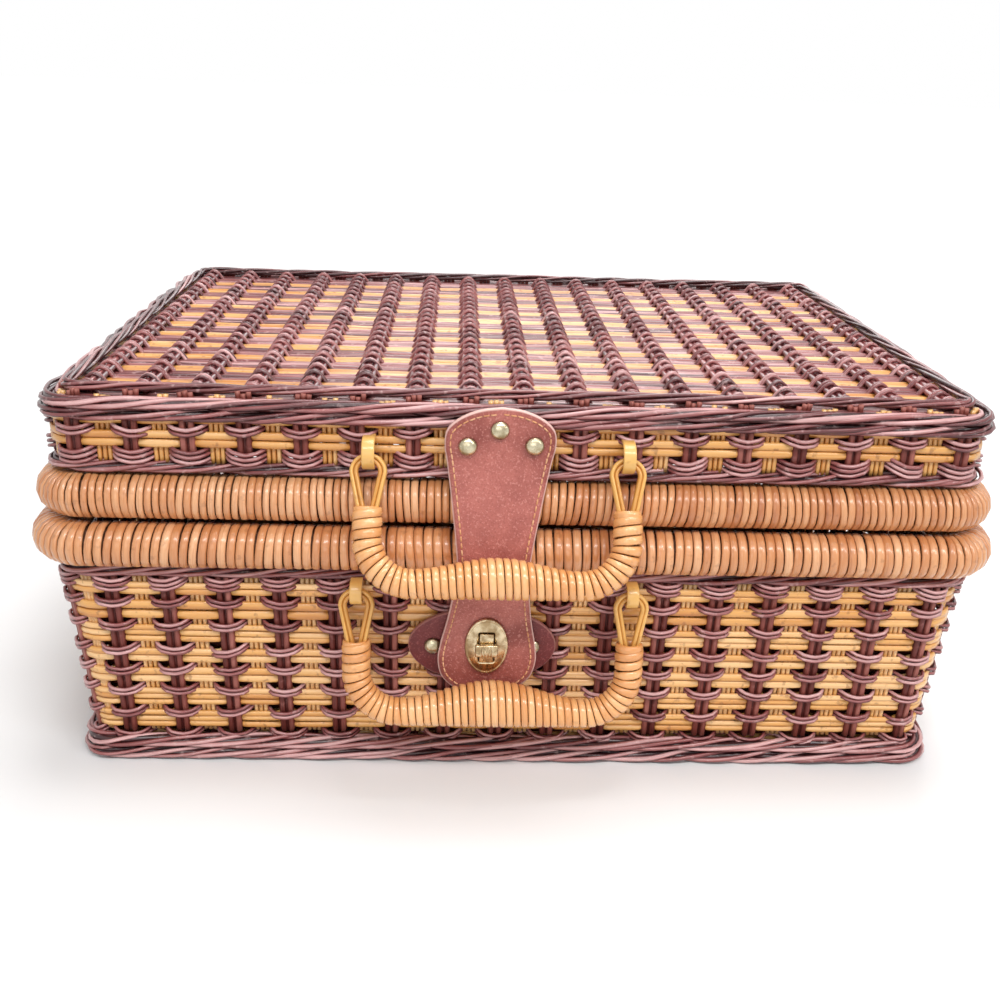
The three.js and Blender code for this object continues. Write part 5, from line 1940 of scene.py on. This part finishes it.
    def hollowed(self, sheet: Piece) -> Piece:
        """Cuts the slot and the rivets' hollows out of the tongue."""
        made = bmesh.new()
        wider, deeper = self.rivet_room
        hollow = self.patch_out[1] + self.rivet_h + deeper
        for node in ("patch_rivet_left", "patch_rivet_right"):
            x = middle_of(node)[0] - self.lock.x
            add_bar(made, self.rivet_r + wider, (0.0, hollow), x, -self.patch_down)
        add_block(made, self.slot, self.slot_cut, self.boss_round)
        cutter = object_from("tongue_cutter", made, self.wall)
        cut = sheet.modifiers.new("hollows", "BOOLEAN")
        cut.object = cutter
        cut.operation = "DIFFERENCE"
        cut.solver = "EXACT"
        graph = bpy.context.evaluated_depsgraph_get()
        mesh = bpy.data.meshes.new_from_object(sheet.evaluated_get(graph))
        sheet.modifiers.clear()
        old = sheet.data
        sheet.data = mesh
        bpy.data.meshes.remove(old)
        bpy.data.objects.remove(cutter)
        return sheet

    def stitches(self, rng: Random) -> Piece:
        """Short stitches of thread inside the tongue's edge."""
        line, out = self.sheet()
        edge = self.outline(line)
        down = edge[: len(line), 1]
        tangent = np.roll(edge, -1, axis=0) - np.roll(edge, 1, axis=0)
        tangent /= np.maximum(np.linalg.norm(tangent, axis=1, keepdims=True), 1e-9)
        inner = edge + np.stack([-tangent[:, 1], tangent[:, 0]], axis=1) * self.stitch_in
        lengths = np.concatenate([[0], np.cumsum(np.linalg.norm(np.diff(inner, axis=0), axis=1))])
        bundle = Bundle("tongue_stitches")
        rise = LEATHER + np.array(self.stitch_rise) * MM
        span = np.linspace(*self.stitch_span, len(rise)) * self.stitch_step
        for start in np.arange(0, lengths[-1] - self.stitch_step, self.stitch_step):
            t = start + span
            x, y = np.interp(t, lengths, inner[:, 0]), np.interp(t, lengths, inner[:, 1])
            z = np.interp(y, down, line[:, 0])
            back = np.interp(y, down, line[:, 2])
            normal = np.stack([np.interp(y, down, out[:, k]) for k in range(3)], axis=1)
            path = points(self.middle_x(z) + x, MIDDLE_Y - back, z) + normal * rise[:, None]
            bundle.add(Strand(path, self.thread_r, rng.uniform(*self.thread_shade)))
        return bundle.build()

    def rivet(self, node: str, body: str) -> None:
        """Builds a dome-headed rivet with its shank and its flattened inner end."""
        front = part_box(node)[0].y
        x, _, z = middle_of(node)
        stack = size_of(node)[1] - self.rivet_h
        if node.startswith("patch"):
            place = self.wall @ Matrix.Translation((x - self.lock.x, -self.patch_out[1], -self.patch_down))
        else:
            place = Matrix.Translation((x, front + self.rivet_h, z))
        burr_r, burr_h = self.burr
        profile = [(0.0, -stack), (burr_r, -stack), (burr_r, burr_h - stack), (self.shank_r, burr_h - stack)]
        profile += [(self.shank_r, 0.0), (self.rivet_r, 0.0)]
        for k in range(1, self.dome_steps + 1):
            turn = math.pi / 2 * k / self.dome_steps
            radius = self.rivet_r * math.cos(turn) if k < self.dome_steps else 0.0
            rise = self.dome_edge + (1 - self.dome_edge) * math.sin(turn)
            profile.append((radius, self.rivet_h * rise))
        dress(spun(f"{node}_dome", profile, place), RIVET_BRASS, body, [node])

    def plate(self) -> Piece:
        """The oval plate: a bead round its edge, a crowned face and a raised frame round its slot."""
        width, height = self.slot
        loops = []
        for wider, corner, rise in self.frame_steps:
            loop = rounded(width + wider * MM, height + wider * MM, corner * MM, self.around)
            loops.append((loop, self.plate_out + rise * MM))
        for share, rise in self.plate_steps:
            half_x, half_z = (half * share for half in self.plate_half)
            loops.append((ellipse(half_x, half_z, self.around), self.plate_out + rise * MM))
        return lofted("tongue_plate_oval", loops, self.wall, True)

    def boss(self) -> Piece:
        """The turn-lock's base: a boss through the tongue, on a flange and a stem through the wall."""
        made = bmesh.new()
        width, height = (size - 2 * self.boss_fit for size in self.slot)
        reach = (self.flange_out[0], self.knob_out[0] - self.knob_gap)
        add_block(made, (width, height), reach, self.boss_round)
        rim = (width + 2 * self.flange, height + 2 * self.flange)
        add_block(made, rim, self.flange_out, self.flange_round)
        add_bar(made, self.stem_r, (self.stem_end, self.flange_out[1]))
        return object_from("turnlock_boss", made, self.wall)

    def knob(self) -> Piece:
        """The turn-lock's bar with ribs across its middle, on its post with a nut behind the wall."""
        made = bmesh.new()
        add_block(made, self.knob_size, self.knob_out, self.knob_round)
        for k in range(self.ribs):
            rib = bmesh.ops.create_uvsphere(made, u_segments=12, v_segments=8, radius=1.0)["verts"]
            x = (k - (self.ribs - 1) / 2) * self.rib_pitch
            bmesh.ops.scale(made, vec=self.rib_half, verts=rib)
            bmesh.ops.translate(made, vec=(x, -self.knob_out[1], 0), verts=rib)
        end = self.stem_end - self.nut_end
        add_bar(made, self.post_r, (end, self.knob_out[0] + self.post_in))
        add_bar(made, self.stem_r, (end, self.stem_end - self.knob_gap))
        return object_from("turn_knob_bar", made, self.wall)

    def patch(self) -> Piece:
        """The leather patch behind the tongue."""
        half_x, half_z = self.patch_half
        base, top = self.patch_out
        steps = [(inset * MM, base + (top - base) * rise) for inset, rise in self.patch_steps]
        loops = []
        for inset, out in [(self.patch_under, base), *steps]:
            loops.append((ellipse(half_x - inset, half_z - inset, self.around), out))
        aside = middle_of("clasp_patch")[0] - self.lock.x
        place = self.wall @ Matrix.Translation((aside, 0, -self.patch_down))
        piece = lofted("clasp_patch_hide", loops, place, False)
        edge = piece.data.attributes.new("edge", "FLOAT", "POINT")
        insets = [0.0] + [inset for inset, _ in steps]
        edge.data.foreach_set("value", np.repeat(insets, self.around))
        return piece

    def build(self, rng: Random) -> None:
        """Builds and dresses the clasp."""
        for piece, finish in ((self.tongue(), TONGUE_HIDE), (self.stitches(rng), THREAD)):
            paint(piece.data, finish)
            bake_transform(piece)
            if finish is TONGUE_HIDE:
                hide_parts("tongue_leather")
            LOG.info("%s: %d faces between lid and tongue", piece.name, len(piece.data.polygons))
        for side in ("left", "top", "right"):
            self.rivet(f"tongue_rivet_{side}", "lid")
        for side in ("left", "right"):
            self.rivet(f"patch_rivet_{side}", "base")
        dress(self.patch(), PATCH_HIDE, "base", ["clasp_patch"])
        dress(self.plate(), BRASS, "tongue", ["tongue_plate"])
        dress(self.boss(), BRASS, "base", ["turnlock_base"])
        dress(self.knob(), BRASS, "turn_knob", ["turn_knob"])
        for node in ("turnlock_back_plate", "tongue_back_ring"):
            dress_node(node, DARK_BRASS)


# Studio


@dataclass(frozen=True)
class Lamp:
    """A soft lamp that faces the basket, with its width, its height and its power in watts."""

    name: str
    place: tuple[float, float, float]
    wide: float
    high: float
    power: float

    def build(self) -> None:
        """Adds the lamp to the scene."""
        data = bpy.data.lights.new(self.name, "AREA")
        data.shape = "RECTANGLE"
        data.size = self.wide
        data.size_y = self.high
        data.energy = self.power
        lamp = bpy.data.objects.new(self.name, data)
        lamp.location = self.place
        lamp.rotation_mode = "QUATERNION"
        lamp.rotation_quaternion = (Vector((0, 0, 0.1)) - Vector(self.place)).to_track_quat("-Z", "Y")
        bpy.context.scene.collection.objects.link(lamp)


@dataclass
class Studio:
    """Camera at the photograph's viewing angle, soft lamps and a pale floor that fades into white."""

    eye: tuple[float, float, float] = (-29 * MM, -585 * MM, 311 * MM)
    focal_px: float = 1105.0
    image_px: float = 1000.0
    pitch: float = math.radians(21.73)
    yaw: float = math.radians(2.49)
    roll: float = math.radians(1.94)
    sky: float = 0.4
    floor_r: float = 12.0
    fade: Span = (0.3, 1.0)
    lamps: Sequence[Lamp] = (
        Lamp("key_lamp", (0.1, -0.95, 1.2), 1.5, 0.14, 12.5),
        Lamp("side_lamp", (0.95, -0.75, 0.8), 0.25, 0.25, 3.0),
        Lamp("low_lamp", (-0.25, -1.15, 0.4), 0.9, 0.4, 1.7),
        Lamp("top_lamp", (0.15, 0.1, 1.5), 0.7, 0.7, 11.0),
        Lamp("back_lamp", (0.2, 1.1, 1.0), 0.9, 0.9, 9.0),
    )

    def camera(self) -> None:
        """Makes the scene's camera."""
        data = bpy.data.cameras.new("camera")
        data.sensor_width = 36.0
        data.lens = data.sensor_width * self.focal_px / self.image_px
        camera = bpy.data.objects.new("camera", data)
        bpy.context.scene.collection.objects.link(camera)
        flat = math.cos(self.pitch)
        ahead = Vector((math.sin(self.yaw) * flat, math.cos(self.yaw) * flat, -math.sin(self.pitch)))
        right = Vector((math.cos(self.yaw), -math.sin(self.yaw), 0.0))
        up = right.cross(ahead)
        level, tilt = math.cos(self.roll), math.sin(self.roll)
        turn = Matrix((level * right + tilt * up, level * up - tilt * right, -ahead)).transposed().to_4x4()
        camera.matrix_world = Matrix.Translation(Vector(self.eye) + Vector((0, MIDDLE_Y, 0))) @ turn
        bpy.context.scene.camera = camera

    def floor(self) -> None:
        """Adds the pale floor, which is seen as white far from the basket."""
        black, pale, white = tone(0, 0, 0), tone(238, 238, 238), tone(255, 255, 255)
        made = bmesh.new()
        bmesh.ops.create_circle(made, cap_ends=True, segments=64, radius=self.floor_r)
        piece = object_from("studio_floor", made, smooth=False)
        shader = Shader(bpy.data.materials.new("studio_floor_finish"))
        settings = {"operation": "LENGTH"}
        distance = shader.node("ShaderNodeVectorMath", settings, {0: shader.place()}, output="Value")
        far = distance.between(*self.fade)
        shader.set(Base_Color=shader.mix(far, pale, black), Roughness=0.9)
        shader.set(Emission_Color=shader.mix(far * shader.seen_white(), black, white), Emission_Strength=1.0)
        piece.data.materials.append(shader.owner)

    def world(self) -> None:
        """Lights the scene evenly from all round, with a white background."""
        shader = Shader(bpy.data.worlds.new("studio_world"), "Background")
        shader.set(Color=(1.0, 1.0, 1.0), Strength=self.sky + (1.0 - self.sky) * shader.seen_white())
        bpy.context.scene.world = shader.owner

    def build(self) -> None:
        """Builds the camera, the floor, the world and the lamps."""
        self.camera()
        self.floor()
        self.world()
        for lamp in self.lamps:
            lamp.build()
        bpy.context.scene.view_settings.view_transform = "Standard"


# The basket


@dataclass
class BaseTray:
    """The base: woven wall and floor, foot ropes, twined band, wound rim and hinge loops."""

    row_z: Sequence[float] = tuple(z * MM for z in (95.0, 85.0, 72.8, 60.2, 49.6, 38.2, 25.8, 13.2))
    row_strands: Sequence[int] = (3, 2, 2, 2, 2, 2, 2, 2)
    band_rods: Sequence[int] = (2, 2, 3, 2, 2, 3, 3)
    band_gap: float = 3.4 * MM
    wall_up: float = 1 * MM
    wall_out: Span = (-6 * MM, 1 * MM)
    stakes: int = 56
    first_stake: float = -8.4 * MM
    foot_at: Span = (-5.4 * MM, 3.3 * MM)
    foot_upper_at: Span = (-6.0 * MM, 8.8 * MM)
    twine_out: float = -3.5 * MM
    twine_dodge: Span = (-2 * MM, -1.0 * MM)
    cane_pitch: float = 4.0 * MM

    def wall(self) -> WovenWall:
        """The wall, which leans out from its foot to its rim."""
        low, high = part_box("base_wall")
        bands = []
        for above, below, rods in zip(self.row_z, self.row_z[1:], self.band_rods):
            bands.append(Band((above + below) / 2, above - below - self.band_gap, rods))
        rows = [Arches(z, strands) for z, strands in zip(self.row_z, self.row_strands)]
        size = (low.z, high.z + self.wall_up, *self.wall_out)
        weave = (self.stakes, self.first_stake, bands, rows)
        return WovenWall("base", "base", "base_wall", BASE_LINE, *size, *weave)

    def ropes(self) -> list[Rope]:
        """The two foot ropes and the twined band under the rim."""
        at = (self.twine_out, middle_of("base_twine_band")[2])
        return [
            Rope("base_foot_rope", "base", "base_foot_border", BASE_LINE, *self.foot_at, FOOT_ROPE),
            Rope("base_foot_upper_rope", "base", None, BASE_LINE, *self.foot_upper_at, FOOT_ROPE),
            Rope("base_twine", "base", "base_twine_band", BASE_LINE, *at, TWINE, self.twine_dodge),
        ]

    def build(self, rng: Random) -> None:
        """Builds and dresses the base."""
        self.wall().build(rng)
        FloorWeave().build(rng)
        for rope in self.ropes():
            rope.build(rng)
        WoundRim("base_rim_cane", "base", "base_rim_wrap", BASE_LINE, BASE_RIM_Z, self.cane_pitch).build(rng)
        dress_node("base_rim_core", ROD_WOOD)
        for side in ("left", "right"):
            HingeLoop(side).build(rng)


@dataclass
class Lid:
    """The lid: woven wall and panel, top and edge ropes, twined band and wound rim."""

    band: Span = (159.0 * MM, 7.4 * MM)
    top_band: Span = (1.0 * MM, 3.6 * MM)
    rows: Sequence[Arches] = (Arches(165.2 * MM, 2), Arches(153.6 * MM, 3))
    wall_past: Span = (1.5 * MM, 2 * MM)
    wall_out: float = 3.6 * MM
    stakes: int = 57
    stub: float = 9.5 * MM
    strand_front: float = 4.05 * MM
    # The lid wall's honey is painted darker: painted shade under the rope border
    pale: float = -0.3
    top_at: Span = (0.9 * MM, 169.6 * MM)
    top_upper_at: Span = (0.0, 174.2 * MM)
    edge_at: Span = (-6.9 * MM, 179.2 * MM)
    twine_out: float = -0.9 * MM
    twine_dodge: Span = (-4.5 * MM, 1.5 * MM)
    cane_pitch: float = 3.3 * MM

    def wall(self) -> WovenWall:
        """The upright wall, with the cut ends of its stakes in the border."""
        low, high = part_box("lid_wall")
        bands = [Band(*self.band, 2), Band(high.z + self.top_band[0], self.top_band[1], 1)]
        size = (low.z - self.wall_past[0], high.z + self.wall_past[1], self.wall_out, self.wall_out)
        weave = (self.stakes, 0.0, bands, self.rows, self.stub, self.pale)
        front = self.strand_front
        return WovenWall("lid", "lid", "lid_wall", LID_LINE, *size, *weave, strand_front=front)

    def ropes(self) -> list[Rope]:
        """The two top ropes, the edge rope and the twined band above the rim."""
        at = (self.twine_out, middle_of("lid_twine_band")[2])
        return [
            Rope("lid_top_rope_strands", "lid", "lid_top_rope", LID_LINE, *self.top_at, TOP_ROPE),
            Rope("lid_top_upper_strands", "lid", None, LID_LINE, *self.top_upper_at, TOP_ROPE),
            Rope("lid_edge_strands", "lid", "lid_edge_rope", LID_LINE, *self.edge_at, EDGE_ROPE),
            Rope("lid_twine", "lid", "lid_twine_band", LID_LINE, *at, TWINE, self.twine_dodge),
        ]

    def build(self, rng: Random) -> None:
        """Builds and dresses the lid."""
        self.wall().build(rng)
        LidPanel().build(rng)
        for rope in self.ropes():
            rope.build(rng)
        WoundRim("lid_rim_cane", "lid", "lid_rim_wrap", LID_LINE, LID_RIM_Z, self.cane_pitch).build(rng)
        dress_node("lid_rim_core", ROD_WOOD)


UPPER_SIZES = {"half": 54.5 * MM, "drop": 45 * MM, "grip_r": 9.1 * MM, "neck": 25 * MM}
LOWER_SIZES = {"half": 60.5 * MM, "drop": 49.4 * MM, "grip_r": 10.6 * MM, "neck": 26 * MM}
UPPER_HANDLE = Handle("upper", "lid", lean=math.radians(25.33), **UPPER_SIZES)
LOWER_HANDLE = Handle("lower", "base", lean=math.radians(11.85), **LOWER_SIZES)


def main() -> None:
    """Builds the studio and the basket."""
    logging.basicConfig(level=logging.INFO, format="%(name)s: %(message)s")
    rng = np.random.default_rng(SEED)
    Studio().build()
    for part in (BaseTray(), Lid(), UPPER_HANDLE, LOWER_HANDLE, Clasp()):
        part.build(rng)


if __name__ == "__main__":
    main()
